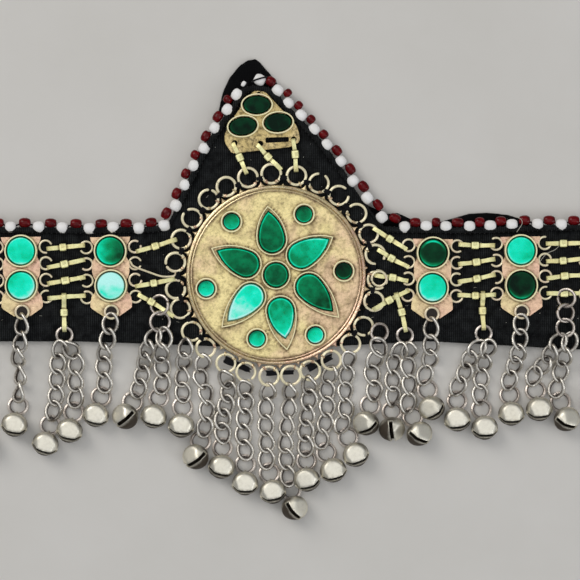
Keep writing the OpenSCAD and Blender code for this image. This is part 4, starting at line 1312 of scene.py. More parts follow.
def sheet_between(edges, low, high, bend, across=14):
    """A thin plate between a left and a right edge. Each row of `edges` is y, left x, right x."""
    share = np.linspace(0, 1, across)
    grid = np.array([np.column_stack([left + (right - left) * share, np.full(across, y)])
                     for y, left, right in edges])
    lift = bend(grid[..., 0], grid[..., 1])
    n, m = grid.shape[:2]
    points = np.concatenate([np.dstack([grid, z + lift]).reshape(-1, 3) for z in (high, low)])
    number = np.arange(n * m).reshape(n, m)
    faces = []
    for i in range(n - 1):
        for j in range(m - 1):
            a, b, c, d = number[i, j], number[i, j + 1], number[i + 1, j + 1], number[i + 1, j]
            faces += [(a, d, c, b), (a + n * m, b + n * m, c + n * m, d + n * m)]
    edge = [*number[0, :], *number[1:, -1], *number[-1, -2::-1], *number[-2:0:-1, 0]]
    for a, b in zip(edge, edge[1:] + edge[:1]):
        faces.append((a, b, b + n * m, a + n * m))
    return points, [tuple(int(v) for v in face) for face in faces]


print("side rings:", len(PLAQUES) * 8)

# %% [markdown]
# One plaque is the plate with its bent wings, then its two settings, its eight side rings, its bottom ring
# and a dark dish inside that ring, which paints the shade in its hole. The plate is darkened along the
# settings, with patina and painted shade, and fully inside the bottom ring, as painted shade.

# %% Plaques
def plaque(i, luck):
    x0, y0, turn = PLAQUES[i]
    work = Workpiece()

    def put(shape, finish, tone, grime_and_shade):
        work.add(placed(shape, (x0, y0, 0), (0, 0, turn)), finish, tone, grime_and_shade)

    ys = np.concatenate([np.arange(9.4, -14.3, -0.5), [-14.35]])
    knots = np.array(PLAQUE_HALF)
    half = np.interp(-ys, -knots[:, 0], knots[:, 1])
    right = half + [luck.uniform(-0.06, 0.06) for _ in ys]
    left = -half + [luck.uniform(-0.06, 0.06) for _ in ys]
    tip_left, tip_right = luck.uniform(-0.02, 0.07), luck.uniform(-0.02, 0.07)

    def bend(x, y):
        down = np.clip((-8 - y) / 6, 0, 1)
        return np.where(x < 0, tip_left * -x, tip_right * x) * down * 0.9 + 0.03 * np.sin(x * 1.1 + y * 0.7)

    shape = sheet_between(np.column_stack([ys, left, right]), PLAQUE_LOW, PLAQUE_HIGH, bend)
    spots = shape[0][:, :2]

    def away(y):
        return np.linalg.norm(spots - (0, y), axis=1)

    near = np.minimum(np.abs(away(STONE_HALF_PITCH) - 5.0), np.abs(away(-STONE_HALF_PITCH) - 5.0))
    near = np.minimum(near, np.abs(away(BOTTOM_RING_Y) - 2.1) - 0.2)
    rosy = 0.45 + 0.4 * np.sign(spots[:, 0]) * (1 if luck.random() < 0.75 else -1)
    rosy = np.where(spots[:, 1] > -6, 0.75, rosy)
    # Darkening of the plate: patina and painted shade along the settings and the bottom ring, painted shade
    # inside that ring.
    darkening = 0.8 * np.exp(-np.maximum(near, 0) / 0.3)
    put(shape, 0, rosy, np.where(away(BOTTOM_RING_Y) < 1.9, 1.0, darkening))
    for s in (1, -1):
        squeeze = (1 + luck.uniform(-0.012, 0.012), 1)
        outline = circle(PLAQUE_STONE_R + 0.1, 40) * squeeze + (0, s * STONE_HALF_PITCH)
        shape, darkening = bezel(outline, 0.42, METAL_Z + 0.7, BEZEL_TOP, 0.12)
        put(shape, 1, luck.uniform(0, 0.35), darkening)
    for s in (-1, 1):
        towards = 0 if s > 0 else 180
        for k in range(4):
            gap_angle = luck.choice(GAPS)
            shape = ring(SIDE_RING_R, SIDE_RING_WIRE * luck.uniform(0.9, 1.05), gap_angle,
                         towards + luck.uniform(-38, 38), 0.2, 22, 8, luck.uniform(0.95, 1.03))
            lean = (luck.uniform(-3, 3), luck.uniform(-3, 3), turn)
            shape = placed(shape, (*side_ring(i, s, k), WIRE_Z - 0.08), lean)
            work.add(shape, 2, luck.uniform(0, 0.6), 0.05)
    base = on_plaque(i, (0, BOTTOM_RING_Y))
    shape = ring(BOTTOM_RING_R, BOTTOM_RING_WIRE, 12, luck.uniform(60, 200), 0.2, 26)
    shape = placed(shape, (*base, WIRE_Z + 0.55), (luck.uniform(-3, 3), 0, 0))
    work.add(shape, 2, luck.uniform(0.1, 0.6), 0.05)
    # A dark dish inside the bottom ring paints the shade in its hole.
    hole_shade_dish = skin([at_height(circle(r, 22), z) for r, z in HOLE_SHADE_DISH])
    work.add(placed(hole_shade_dish, (*base, 0)), 3, 0.5, 1.0)
    return work


for i in range(len(PLAQUES)):
    work = plaque(i, random.Random(40 + i))
    finishes = [plate_brass, bezel_brass, wire_brass, pellet_and_hole_shade]
    fit(f"plaque_{i + 1}_body", work, finishes, [f"plaque_{i + 1}"])

# %% [markdown]
# The plaques' stones are set a little deeper than the medallion's. Two of them get a painted highlight: a
# bright line along the upper edge.

# %% Stones of the plaques
# Tone and slope of each plaque's upper and lower stone: the tone paints how brightly its foil reflects, the
# slope paints light across it
PLAQUE_TONES = [((0.62, (0.1, 0.1)), (0.5, (0.2, -0.2))), ((0.72, (0, 0.05)), (0.78, (0.25, -0.2))),
                ((0.42, (-0.45, 0.15)), (0.97, (0.12, 0.25))), ((0.12, (0, 0.1)), (0.74, (-0.1, -0.1))),
                ((0.72, (-0.1, 0.1)), (0.06, (0.1, 0))), ((0.45, (0.1, -0.2)), (0.66, (0, 0.2)))]
# Plaque and side of the stones with a painted highlight line
PAINTED_GLINTS = [(3, 1), (0, 1)]
for side, members in (("left", (0, 1, 2)), ("right", (3, 4, 5))):
    stones = Workpiece()
    for i in members:
        for s, (tone, slope) in zip((1, -1), PLAQUE_TONES[i]):
            outline = moved(circle(PLAQUE_STONE_R, 40), on_plaque(i, (0, s * STONE_HALF_PITCH)))
            stone(stones, outline, tone, slope, low=STONE_Z - 0.15, painted_glint=0.75 * ((i, s) in PAINTED_GLINTS))
    fit_stones(f"plaque_glass_{side}", stones, f"plaque_stones_{side}")

# %% [markdown]
# ## The peak plaque
# A rounded triangle of sheet brass with three oval settings. A flat curve with holes, extruded and
# bevelled, is the quick way to such a plate; it is made a mesh and then gets its settings.

# %% Peak plaque
PEAK_OUTLINE = [(-13.2, 36.5), (4.4, 38.5), (7, 40), (7, 42), (6.1, 44.9), (-3.6, 55.3), (-5.2, 55.6),
                (-6.9, 55), (-11.7, 48.7), (-15.4, 42.2), (-15.3, 39.7)]
# Settings: x, y, turn
PEAK_OVALS = [(-5.7, 51, 2), (-9.9, 44.6, 8), (0.6, 45.7, 5)]
# Tone of each oval stone's foil, which paints how brightly it reflects
PEAK_TONES = (0.02, 0.03, 0.0)
OVAL_A, OVAL_B = 4.2, 2.8
PEAK_HOLES = [(-12.4, 39.6), (-4.7, 39.4), (5.3, 40.7)]
PEAK_RINGS = (26, 0, 1)
PEAK_SLOT = [(-3.2, 39.6), (3.9, 39.9), (3.9, 41.5), (-3.2, 41.3)]
# Radius and place of the hole at the top
TOP_HOLE = (0.7, (-5.2, 54.4))


def softened(outline, radius=0.5):
    """The outline with each corner cut by two points."""
    made = []
    outline = np.asarray(outline, float)
    for before, here, after in zip(np.roll(outline, 1, 0), outline, np.roll(outline, -1, 0)):
        for other in (before, after):
            step = other - here
            made.append(here + step * min(radius / np.linalg.norm(step), 0.3))
    return np.array(made)


def oval(a, b, place):
    x, y, turn = place
    return moved(circle(1, 36) * (a, b), (x, y), turn)


curve = bpy.data.curves.new("peak_sheet", "CURVE")
curve.dimensions = "2D"
curve.fill_mode = "BOTH"
curve.extrude = 0.3 * MM
curve.bevel_depth = 0.08 * MM
cuts = [softened(PEAK_OUTLINE), softened(PEAK_SLOT, 0.3), moved(circle(TOP_HOLE[0], 16), TOP_HOLE[1])]
for outline in cuts + [moved(circle(0.95, 20), p) for p in PEAK_HOLES]:
    spline = curve.splines.new("POLY")
    spline.points.add(len(outline) - 1)
    spline.use_cyclic_u = True
    co = np.column_stack([outline * MM, np.zeros(len(outline)), np.ones(len(outline))])
    spline.points.foreach_set("co", co.ravel())
peak_points, peak_faces = shape_of(baked(add_object("peak_sheet", curve)))
peak = Workpiece().add((peak_points + (0, 0, METAL_Z + 0.42), peak_faces), 0, 0.15, 0.12)
stones = Workpiece()
for place, tone in zip(PEAK_OVALS, PEAK_TONES):
    shape, darkening = bezel(oval(OVAL_A + STONE_ROOM, OVAL_B + STONE_ROOM, place), 0.38, METAL_TOP - 0.12)
    peak.add(shape, 1, 0.3, darkening)
    stone(stones, oval(OVAL_A, OVAL_B, place), tone, (0.0, 0.1), 0.35)
fit("peak_body", peak, [old_brass, bezel_brass], ["peak_plaque"])
fit_stones("peak_glass", stones, "peak_stones")

# %% [markdown]
# ## Folded strip links
# A link is one strip of thin brass: it goes through a ring, folds back on itself, and a short collar
# is wrapped round the middle to hold both layers. So the path is a flat loop in a standing plane,
# wide round the wire at each end and pinched in between, and the section is a flat strip.

# %% Folded strip
STRIP_WIDE, STRIP_THICK, STRIP_PINCH = 1.3, 0.28, 0.17
FOLD_NARROWS = 1.9
# Darker edges of the strip's section: painted shade
STRIP_EDGE_SHADE = [0.08, 0.08, 0.0, 0.0, 0.08, 0.08, 0.05, 0.05]
luck = random.Random(11)


def folded_strip(work, start, end, noses, gaps, collar=0.5):
    """A strip folded round something at `start` and at `end` (x, y, z). `noses` is how far it reaches
    past each, `gaps` half the room that it leaves there, and `collar` where its collar sits."""
    start, end = np.asarray(start, float), np.asarray(end, float)
    run = end - start
    length = math.hypot(run[0], run[1])
    ahead = np.array([run[0], run[1], 0]) / length
    aside = np.cross(UP, ahead)
    along = np.linspace(0, length, 33)
    near = np.exp(-(along / FOLD_NARROWS) ** 2)
    far = np.exp(-((length - along) / FOLD_NARROWS) ** 2)
    half = STRIP_PINCH + (gaps[0] - STRIP_PINCH) * near + (gaps[1] - STRIP_PINCH) * far
    bow = luck.uniform(-0.25, 0.25) * np.sin(math.pi * along / length)
    turns = np.radians(np.linspace(-80, 80, 9))
    nose_end = np.column_stack([length + noses[1] * np.cos(turns), gaps[1] * np.sin(turns)])
    nose_start = np.column_stack([-noses[0] * np.cos(turns), -gaps[0] * np.sin(turns)])
    top = np.column_stack([along, half])[::-1]
    low = np.column_stack([along, -half])
    loop = np.vstack([low, nose_end, top, nose_start])
    height = np.interp(loop[:, 0], [0, length], [start[2], end[2]]) + loop[:, 1]
    drift = np.interp(loop[:, 0], along, bow)
    path = start * (1, 1, 0) + ahead * loop[:, :1] + aside * drift[:, None] + UP * height[:, None]
    width = np.full(len(path), STRIP_WIDE) * (1 + 0.05 * np.sin(loop[:, 0] * 1.3 + luck.uniform(0, 6)))
    section = [(b, a) for a, b in bar_section(STRIP_THICK, 1.0, 0.05)][::-1]
    shape = swept(path, section, aside, True, np.column_stack([width, np.ones(len(path))]))
    place = np.repeat(loop[:, 0], len(section))
    # The strip's edges get painted shade, and its ends round the wires are a little darker; with a collar it
    # is darker beside the collar's edges too.
    darkening = np.tile(STRIP_EDGE_SHADE, len(path)) + 0.1 * (np.abs(place - length / 2) > length / 2 - 0.3)
    if collar is None:
        work.add(shape, 0, luck.uniform(0, 0.5), np.clip(darkening, 0, 1))
        return
    darkening += 0.8 * np.exp(-((np.abs(place - length * collar) - 1.25) / 0.28) ** 2)
    work.add(shape, 0, luck.uniform(0, 0.5), np.clip(darkening, 0, 1))
    middle = start + run * collar + aside * np.interp(length * collar, along, bow)
    reach = luck.uniform(0.85, 1.1)
    outline = np.array(bar_section(2 * STRIP_PINCH + 0.85, STRIP_WIDE + 0.8, 0.2))[::-1, ::-1]
    cut = np.linspace(-reach, reach, 5)
    puff = 1 + 0.06 * np.cos(cut / reach * 1.4)
    band = swept(middle + ahead * cut[:, None], outline, aside, False, puff)
    work.add(band, 0, luck.uniform(0, 0.3), 0.0)
    tab_line = middle + ahead * (cut * 0.55)[:, None] + UP * (STRIP_PINCH + 0.45) + aside * 0.35
    work.add(swept(tab_line, bar_section(0.16, (STRIP_WIDE + 0.5) * 0.5, 0.04)), 0, 0.1, 0.25)


print("strip", STRIP_WIDE, "mm wide and", STRIP_THICK, "mm thick")

# %% [markdown]
# Most strips join two rings, so their ends are worked out from the rings' places. A strip slides along
# a ring's wire, and small shifts, read off the photograph, say how far.

# %% Links from ring to ring
SIDE_HOLD, BORDER_HOLD = (SIDE_RING_R, SIDE_RING_WIRE), (RING_R, RING_WIRE)


def plain_link(work, centre_a, hold_a, centre_b, hold_b, collar, lift, shift_a, shift_b):
    """A link between two rings, from the near wire of one to the near wire of the other. A hold is a
    ring's radius and wire, and the shifts say how far each end has slid along its ring."""
    ahead = unit(centre_b - centre_a)
    start = centre_a + ahead * hold_a[0] + shift_a
    end = centre_b - ahead * hold_b[0] + shift_b
    folded_strip(work, (*start, WIRE_Z + lift), (*end, WIRE_Z + lift), (0.78 * hold_a[0], 0.78 * hold_b[0]),
                 (hold_a[1] + 0.24, hold_b[1] + 0.24), collar)


def links_between(work, i, low_collar, climbs):
    """Four links from plaque i to the next. Each climbs by some millimetres."""
    for k, climb in enumerate(climbs):
        collar = low_collar if k == 3 else 0.45 + luck.uniform(-0.05, 0.05)
        plain_link(work, side_ring(i, 1, k), SIDE_HOLD, side_ring(i + 1, -1, k), SIDE_HOLD, collar, 0.08,
                   (0, -climb / 2), (0, climb / 2))


def links_to_border(work, i, side, rows):
    """Links from a plaque's side rings to the medallion: side ring, border ring, collar and shifts."""
    for k, border, collar, shift_a, shift_b in rows:
        plain_link(work, side_ring(i, side, k), SIDE_HOLD, ring_centre(border), BORDER_HOLD, collar, 0.05,
                   shift_a, shift_b)


print("room inside a link at a side ring:", 2 * (SIDE_RING_WIRE + 0.24), "mm")

# %% [markdown]
# Now the links are set in: between the plaques, from the inner plaques to the medallion, from the peak
# plaque down, and four that hang over the lowest links.

# %% Strip links
def fit_links(name, work, node_name):
    fit(name, work, [strip_brass], [node_name], 22)


strips = Workpiece()
links_between(strips, 0, None, (0.8, 1.2, 1.0, 0.8))
links_between(strips, 1, None, (1.0, 2.0, 1.7, 0.8))
links_to_border(strips, 2, 1, [
    (0, 22, 0.5, (0, -1.4), (-0.6, -0.2)), (2, 20, 0.5, (-0.4, -1.3), (0.4, 2.0)),
    (3, 19, 0.35, (0.2, 0.4), (-1.1, -1.9))])
fit_links("links_left", strips, "strip_links_left")

strips = Workpiece()
links_to_border(strips, 3, -1, [
    (0, 5, 0.55, (0, -1.0), (0.5, 1.3)), (1, 6, 0.62, (0.6, -1.3), (-0.2, 1.0)),
    (2, 7, 0.5, (0.4, -0.4), (-1.6, 0.9)), (3, 8, 0.6, (0.9, 1.2), (-1.2, -2.0))])
links_between(strips, 3, 0.45, (-0.7, 0.7, 1.2, -0.4))
links_between(strips, 4, 0.45, (0.3, 0.8, 0.9, 0.2))
fit_links("links_right", strips, "strip_links_right")

# The middle strip of the peak ends beside its ring, as in the photograph
MIDDLE_END = np.array([0.2, 33.0])
strips = Workpiece()
for hole, border in zip(PEAK_HOLES, PEAK_RINGS):
    start = np.array([hole[0], hole[1] - 1.3])
    centre = ring_centre(border) + (0, 0.3)
    end = MIDDLE_END if border == 0 else centre - unit(centre - start) * RING_R
    folded_strip(strips, (*start, WIRE_Z + 0.02), (*end, WIRE_Z), (1.5, 2.0), (0.62, 0.66))
fit_links("links_peak", strips, "peak_links")

# Hanging strips: x, y over the lowest link, and x, y at the ring below
HANGERS = [(-90.2, -4.2, -90.4, -16.9), (-63.6, -4.2, -63.5, -16.9), (36.3, -4, 38.7, -17),
           (62.1, -3.6, 62.3, -16.4)]
HANGER_RING_R = 2.3
strips = Workpiece()
for x, y, ring_x, ring_y in HANGERS:
    hook = (x, y - 2.6, WIRE_Z + 0.25)
    folded_strip(strips, hook, (ring_x, ring_y + 1.2, WIRE_Z + 0.1), (1.3, 1.3), (0.85, 0.56))
fit_links("links_hanging", strips, "hanging_links")

# %% [markdown]
# ## Bells and their places
# A small bell is two pressed half shells joined at the waist, with a slit across the lower half, a
# pellet inside, and a wire loop on top. Each lies tipped on the table, so its loop's place follows
# from its tilt, and its jump ring slopes from there down to the floor. Every place and roll is
# measured in the photograph.

# %% Where the bells lie
# Bell x, y, turn from +Y, tilt below level, roll of the slit, and the chain's route from its ring.
# Route points with only x and y lie low.
DROPS = [
    (-105, -43.5, -4, 43, 0, [(-103.1, -14, 4.4), (-103.6, -21.4, 4.3), (-104, -27)]),
    (-96.4, -47, -8, 43, 0, [(-91.9, -21.5, 3.2), (-93.6, -27), (-95, -34)]),
    (-88, -50.2, -2, 43, 0, [(-89, -21.5, 3.2), (-87.6, -27), (-87.4, -35)]),
    (-78.5, -44.9, -7, 43, 6, [(-76.2, -13.9, 4.4), (-77, -21.4, 4.4), (-77.3, -27)]),
    (-69.2, -50.6, -12, 43, 8, [(-64.9, -21.5, 3.2), (-65.4, -26), (-66.4, -34)]),
    (-62, -46.7, -10, 43, 4, [(-62.1, -21.5, 3.2), (-60.3, -26), (-60.3, -33)]),
    (-54.1, -42, -14, 42, 0, [(-49.6, -13.7, 4.4), (-50.6, -21.4, 4.4), (-51.6, -26)]),
    (-45.2, -42.4, -25, 60, -64, [(-36.4, -18, 4.6), (-38.1, -21.9, 4.4), (-40.2, -28)]),
    (-36.7, -42.4, -14, 42, 0, [(-33.4, -18, 4.6), (-34.2, -21.9, 4.4), (-34.2, -28)]),
    (-28.4, -45.2, -2, 44, 4, [(-26.7, -21.1, 4.6), (-27.6, -23.4, 4.2), (-27.8, -28)]),
    (-24.1, -54.5, -17, 60, -53, [(-21.9, -25.9, 3), (-22.5, -30), (-21, -36), (-21.3, -43)]),
    (-16.4, -57.5, -2, 44, 15, [(-14.9, -30.5, 3), (-14.5, -34.5), (-15.8, -43.5)]),
    (-9.3, -62.5, 0, 44, 2, [(-9.2, -33.6, 3), (-9.4, -37.5), (-9.6, -46)]),
    (-1, -65, 11, 45, 0, [(-2.2, -34.4, 3), (-2.6, -38), (-3.2, -48)]),
    (5.6, -69.8, 12, 52, 62, [(4.5, -34.4, 3), (3.9, -38), (2.6, -50)]),
    (9.3, -61.4, 2, 43, -15, [(10.2, -32.4, 3), (9.8, -36.5), (8.7, -46)]),
    (17.1, -58.6, 21, 43, 8, [(16.4, -29.3, 3), (15.5, -34), (14.7, -45)]),
    (23.9, -53.9, 24, 44, 5, [(22.1, -24.8, 3), (21.2, -29.5), (21.1, -40)]),
    (27, -44.5, -15, 43, -45, [(31, -20.8, 4.6), (30.7, -23, 4), (29, -29)]),
    (34.8, -46.2, -2, 50, 80, [(37.4, -22.2, 3.4), (35.8, -26), (34.9, -33)]),
    (43, -47.6, 20, 50, 48, [(40.1, -22.2, 3.4), (40, -26), (40, -34)]),
    (46.7, -39.9, 11, 43, -25, [(46.6, -14.4, 4.4), (46.2, -21, 4.4), (46, -26)]),
    (54.4, -43.3, -2, 44, -14, [(60.9, -21.3, 4.5), (59.4, -23.4, 3.8), (57, -28.2)]),
    (62.6, -45.8, 7, 44, 7, [(63.7, -21.3, 4.5), (63.4, -23.4, 3.8), (62.5, -29)]),
    (70.6, -41.6, 2, 43, 0, [(73.5, -13.9, 4.4), (72.5, -22.4, 4.4), (71.2, -28)]),
    (79, -40.2, 8, 43, 4, [(85.1, -19.3, 4.6), (82.6, -23.4, 4.2), (80, -27.5)]),
    (87.2, -43.2, 16, 50, 38, [(88.2, -19.3, 4.6), (87.2, -23.4, 4.2), (85.4, -29)]),
    (96.4, -39.6, 0, 43, 0, [(100.2, -13.9, 4.4), (99.5, -23, 4.4), (97.8, -28)]),
]
BELL_R, BELL_C, BELL_WALL, SLIT_WIDE = 3.95, 3.2, 0.4, 1.15
LOOP_R, LOOP_WIRE, LOOP_REACH, FLOOR_GAP = 0.8, 0.3, 3.75, 0.05
JUMP_R, JUMP_WIRE = 2.75, 0.48


def bell_lift(tilt):
    a = math.radians(tilt)
    return max(math.hypot(BELL_R * math.cos(a), BELL_C * math.sin(a)),
               LOOP_REACH * math.sin(a) + LOOP_R + LOOP_WIRE) + FLOOR_GAP


def heading(turn):
    return np.array([-math.sin(math.radians(turn)), math.cos(math.radians(turn)), 0])


def loop_place(drop):
    """The middle of the bell's loop."""
    x, y, turn, tilt = drop[:4]
    a = math.radians(tilt)
    level = np.array([x, y, bell_lift(tilt) - LOOP_REACH * math.sin(a)])
    return level + heading(turn) * LOOP_REACH * math.cos(a)


def ring_fall(drop):
    """How steeply the jump ring slopes from the loop down to the floor."""
    return math.asin((loop_place(drop)[2] - LOOP_WIRE - FLOOR_GAP) / (2 * JUMP_R))


def beyond_ring(drop, reach):
    """The point at some distance from the loop, along its jump ring."""
    fall = ring_fall(drop)
    return loop_place(drop) + heading(drop[2]) * reach * math.cos(fall) - UP * reach * math.sin(fall)


print("bells:", len(DROPS))

# %% [markdown]
# A shell is turned from a profile, pressed flatter on the side that lies upwards, and cut by a slit with a
# Boolean modifier. Painted shade darkens its sides, the side beyond the slit, the slit's lips and its inner
# wall; it is also darker along the waist seam and round the loop.

# %% Pressed shell
# Radius and height of the pressed shell as shares: a flat end, a broad slope, and the waist
SHELL_KNOTS = [(0.03, 1.0), (0.14, 0.998), (0.27, 0.99), (0.40, 0.97), (0.52, 0.93), (0.60, 0.875),
               (0.65, 0.81), (0.89, 0.49), (0.94, 0.41), (0.985, 0.27), (1.0, 0.06)]


def shell_profile(radius, height):
    """Radius and height of a pressed shell from the slit end to the loop end."""
    lower = [(radius * r, -height * z) for r, z in SHELL_KNOTS]
    return lower + [(radius * r, height * z) for r, z in reversed(SHELL_KNOTS)]


# The flatter side: which way it faces, how far out it lies, and how softly it turns in
FACE_AHEAD, FACE_REACH, FACE_SOFT = np.array([0, -0.73, -0.68]), 2.6, 0.25
WAIST_RIDGE = 0.018


def hump(value, width):
    return np.exp(-(value / width) ** 2)


def shell_shade_and_seam(points, reach):
    """Painted shade on the sides, beyond the slit and at the slit's lips; darker along the waist seam and
    round the loop.
    """
    x, y, z = points.T
    # The side beyond the slit faces the floor and is painted in shade.
    far_side_shade = 0.4 + 0.4 * np.clip(y - 0.8, 0, 1)
    darkening = 0.5 * smooth_step((1.8 - reach) / 1.1) + 0.2 * hump(z, 0.25)
    darkening += 0.9 * hump(np.abs(y) - 0.4, 0.3) * (z < -0.4)
    darkening += far_side_shade * (y > 0.7) * (z < -0.5) + 0.3 * np.clip((np.abs(x) - 3.3) / 0.6, 0, 1)
    darkening += 0.7 * hump(np.hypot(x, y), 0.8) * (z > 0)
    return np.clip(darkening, 0, 1)


def slit_cutter():
    """A bar with round ends that reaches through the lower half."""
    end = circle(SLIT_WIDE / 2, 12)
    out = np.array([BELL_R + 0.3, 0])
    outline = np.vstack([end[3:10] - out, end[9:] + out, end[:4] + out])
    points, faces = skin([at_height(outline, z) for z in (-BELL_C - 1, -0.55)])
    mesh = bpy.data.meshes.new("slit_cutter")
    mesh.from_pydata((points * MM).tolist(), [], faces)
    return add_object("slit_cutter", mesh)


def bell_shell(lip):
    """A closed shell with a slit across its lower half. The lips of the slit stand a little proud."""
    work = Workpiece()
    for wall in (0, BELL_WALL):
        profile = shell_profile(BELL_R - wall, BELL_C - wall)
        points, faces = skin([at_height(circle(r, 48), z) for r, z in profile])
        near_slit = hump(np.abs(points[:, 1]) - SLIT_WIDE / 2, 0.5) * (points[:, 2] < -0.3)
        points = points + unit(points) * (lip * near_slit)[:, None]
        points[:, :2] *= 1 + WAIST_RIDGE * hump(points[:, 2:], 0.28)
        reach = points @ FACE_AHEAD
        over = np.maximum(reach - FACE_REACH + wall, 0)
        points -= np.outer(over - FACE_SOFT * (1 - np.exp(-over / FACE_SOFT)), FACE_AHEAD)
        # The inner wall is painted fully dark, as shade.
        if wall:
            work.add((points, [face[::-1] for face in faces]), 0, 0.2, 1.0)
        else:
            work.add((points, faces), 0, 0.2, shell_shade_and_seam(points, reach))
    body, tool = add_object("bell_shell", work.mesh("bell_shell", [bell_nickel], 60)), slit_cutter()
    cut = body.modifiers.new("slit", "BOOLEAN")
    cut.operation = "DIFFERENCE"
    cut.solver = "EXACT"
    cut.object = tool
    result = baked(body, tool)
    return shape_of(result), grime_and_shade_of(result)


shells = [bell_shell(lip) for lip in (0.12, 0.22)]
print("points of the two shells:", [len(darkening) for shape, darkening in shells])

# %% [markdown]
# Two shells, one with low and one with prouder lips, take turns in the 28 bells.

# %% Bells
PELLET_LIFT = 1.15
bands = np.radians(np.linspace(-88, 88, 9))
pellet = skin([at_height(circle(max(math.cos(a), 0.05), 12), math.sin(a)) for a in bands])
loop = placed(ring(LOOP_R, LOOP_WIRE, steps=16), (0, 0, LOOP_REACH), (0, 90, 0))
luck = random.Random(77)
for number, (x, y, turn, tilt, roll, route) in enumerate(DROPS, 1):
    (points, faces), grime_and_shade = shells[number % 2]
    here = (x, y, bell_lift(tilt))
    lying = (-90 - tilt, 0, turn)
    work = Workpiece()
    size = luck.uniform(0.985, 1.0)
    squeeze = np.array([size * luck.uniform(0.985, 1.0), size, size])
    rolled = placed((points * squeeze, faces), (0, 0, 0), (0, 0, roll))
    work.add(placed(rolled, here, lying), 0, luck.uniform(-0.3, 0.4), grime_and_shade)
    work.add(placed(loop, here, lying), 0, 0.3, 0.25)
    work.add(placed(pellet, (x, y, bell_lift(tilt) - BELL_C + BELL_WALL + PELLET_LIFT)), 1, 0.3, 0.3)
    name = f"bell_{number:02d}"
    fit(name + "_body", work, [bell_nickel, pellet_and_hole_shade], [name], 50)

# %% [markdown]
# ## Jump rings
# Each bell hangs from a ring of wire that was opened with pliers and pressed shut by hand, so none is
# quite round or quite closed. Four more hang in the folded strips, and six are loose.

# %% Jump rings
# Loose rings: x, y, z, radius, tilt
LOOSE_RINGS = [(-34.9, -9, 4.6, 2.9, 24), (-34.8, -14, 4.5, 2.9, -15), (87, -6.9, 4.7, 2.7, 28),
               (86.8, -11.4, 4.65, 2.6, -19), (86.7, -15.8, 4.6, 2.6, 16), (31, -17.1, 4.5, 2.6, -20)]
rings = Workpiece()


def inner_grime_and_shade(shape, radius):
    """The inner side of a ring's wire is darker: grime, and painted shade where it touches its neighbours.
    """
    inwards = radius - np.linalg.norm(shape[0][:, :2], axis=1)
    return np.clip(0.15 + 0.9 * inwards / JUMP_WIRE, 0.05, 0.9)


for drop in DROPS:
    shape = ring(JUMP_R * luck.uniform(0.97, 1.02), JUMP_WIRE, luck.uniform(-14, 14), luck.uniform(20, 160),
                 luck.choice([-0.5, 0.5]) * luck.uniform(0.7, 1.2), 30, 8, luck.uniform(0.92, 1.0))
    lean = (-math.degrees(ring_fall(drop)), luck.uniform(-7, 7), drop[2])
    darkening = inner_grime_and_shade(shape, JUMP_R)
    rings.add(placed(shape, beyond_ring(drop, JUMP_R), lean), 0, luck.uniform(0, 0.8), darkening)
for x, y, ring_x, ring_y in HANGERS:
    shape = ring(HANGER_RING_R, JUMP_WIRE, luck.uniform(4, 16), luck.uniform(100, 220), 0.35, 30, 8, 0.97)
    rings.add(placed(shape, (ring_x, ring_y - 1.1, METAL_Z + 0.45), (0, luck.uniform(-3, 3), 0)), 0, 0.3,
              inner_grime_and_shade(shape, HANGER_RING_R))
for x, y, z, radius, tilt in LOOSE_RINGS:
    shape = ring(radius, JUMP_WIRE, luck.uniform(6, 20), luck.uniform(0, 360), 0.3, 32, 8,
                 luck.uniform(0.95, 1.02))
    rings.add(placed(shape, (x, y, z), (0, -tilt, 0)), 0, 0.35, inner_grime_and_shade(shape, radius))
fit("jump_ring_wires", rings, [ring_silver], ["jump_rings"])

# %% [markdown]
# ## Chains
# The fringe is made of curb chain: oval links, each twisted a quarter turn from end to end, so that the
# chain lies flat. One link of 140 faces is walked along every route by the path tree, from the ring above
# down to the jump ring of its bell. The wire's inner side and the link's ends, where links touch, are
# darkened: grime and painted shade.

# %% Curb chain
LINK_LONG, LINK_WIDE, LINK_WIRE, LINK_PITCH = 7.2, 5.5, 0.58, 4.7
LINK_STEPS, LINK_SIDES = 20, 7
LINK_TWIST = -86
FIRST_LINK, LAST_LINK = 0.75, 1.75
CHAIN_LOW = 1.35
SWAY = 0.35
# Chains that lie on edge or rolled, as the photograph shows: drop and roll in degrees
ROLLS = {3: 48, 7: 10, 10: -24, 14: 18, 19: -14, 22: 12}


def link_path(roll=0.0):
    """The wire's middle line, with the link turned about its length by roll."""
    angles = np.arange(LINK_STEPS) * 2 * math.pi / LINK_STEPS
    across = (LINK_WIDE / 2 - LINK_WIRE) * np.sign(np.cos(angles)) * np.abs(np.cos(angles)) ** 0.85
    along = (LINK_LONG / 2 - LINK_WIRE) * np.sin(angles)
    twist = np.radians(LINK_TWIST) * along / LINK_LONG + math.radians(roll)
    return np.column_stack([across * np.cos(twist), across * np.sin(twist), along])


def resting_height(roll):
    """How high the middle of a chain lies when its links, turned by roll, just reach the floor."""
    return np.abs(link_path(roll)[:, 1]).max() + LINK_WIRE


def curb_link():
    path = link_path()
    points, faces = wire(path, LINK_WIRE, LINK_SIDES, (0, 1, 0), True)
    centre = np.repeat(path, LINK_SIDES, 0)
    inward = np.einsum("ij,ij->i", points - centre, -centre) / (LINK_WIRE * np.linalg.norm(centre, axis=1))
    ends = np.abs(centre[:, 2]) / LINK_LONG * 2
    # Darker on the inner side of the wire and at the link's ends, where links touch: grime and painted
    # shade.
    darkening = np.clip(1.2 * inward + 0.1 + 0.2 * ends ** 4, 0, 0.95)
    return Workpiece().add((points, faces), 0, 0, darkening).mesh("curb_link", [chain_silver], 180)


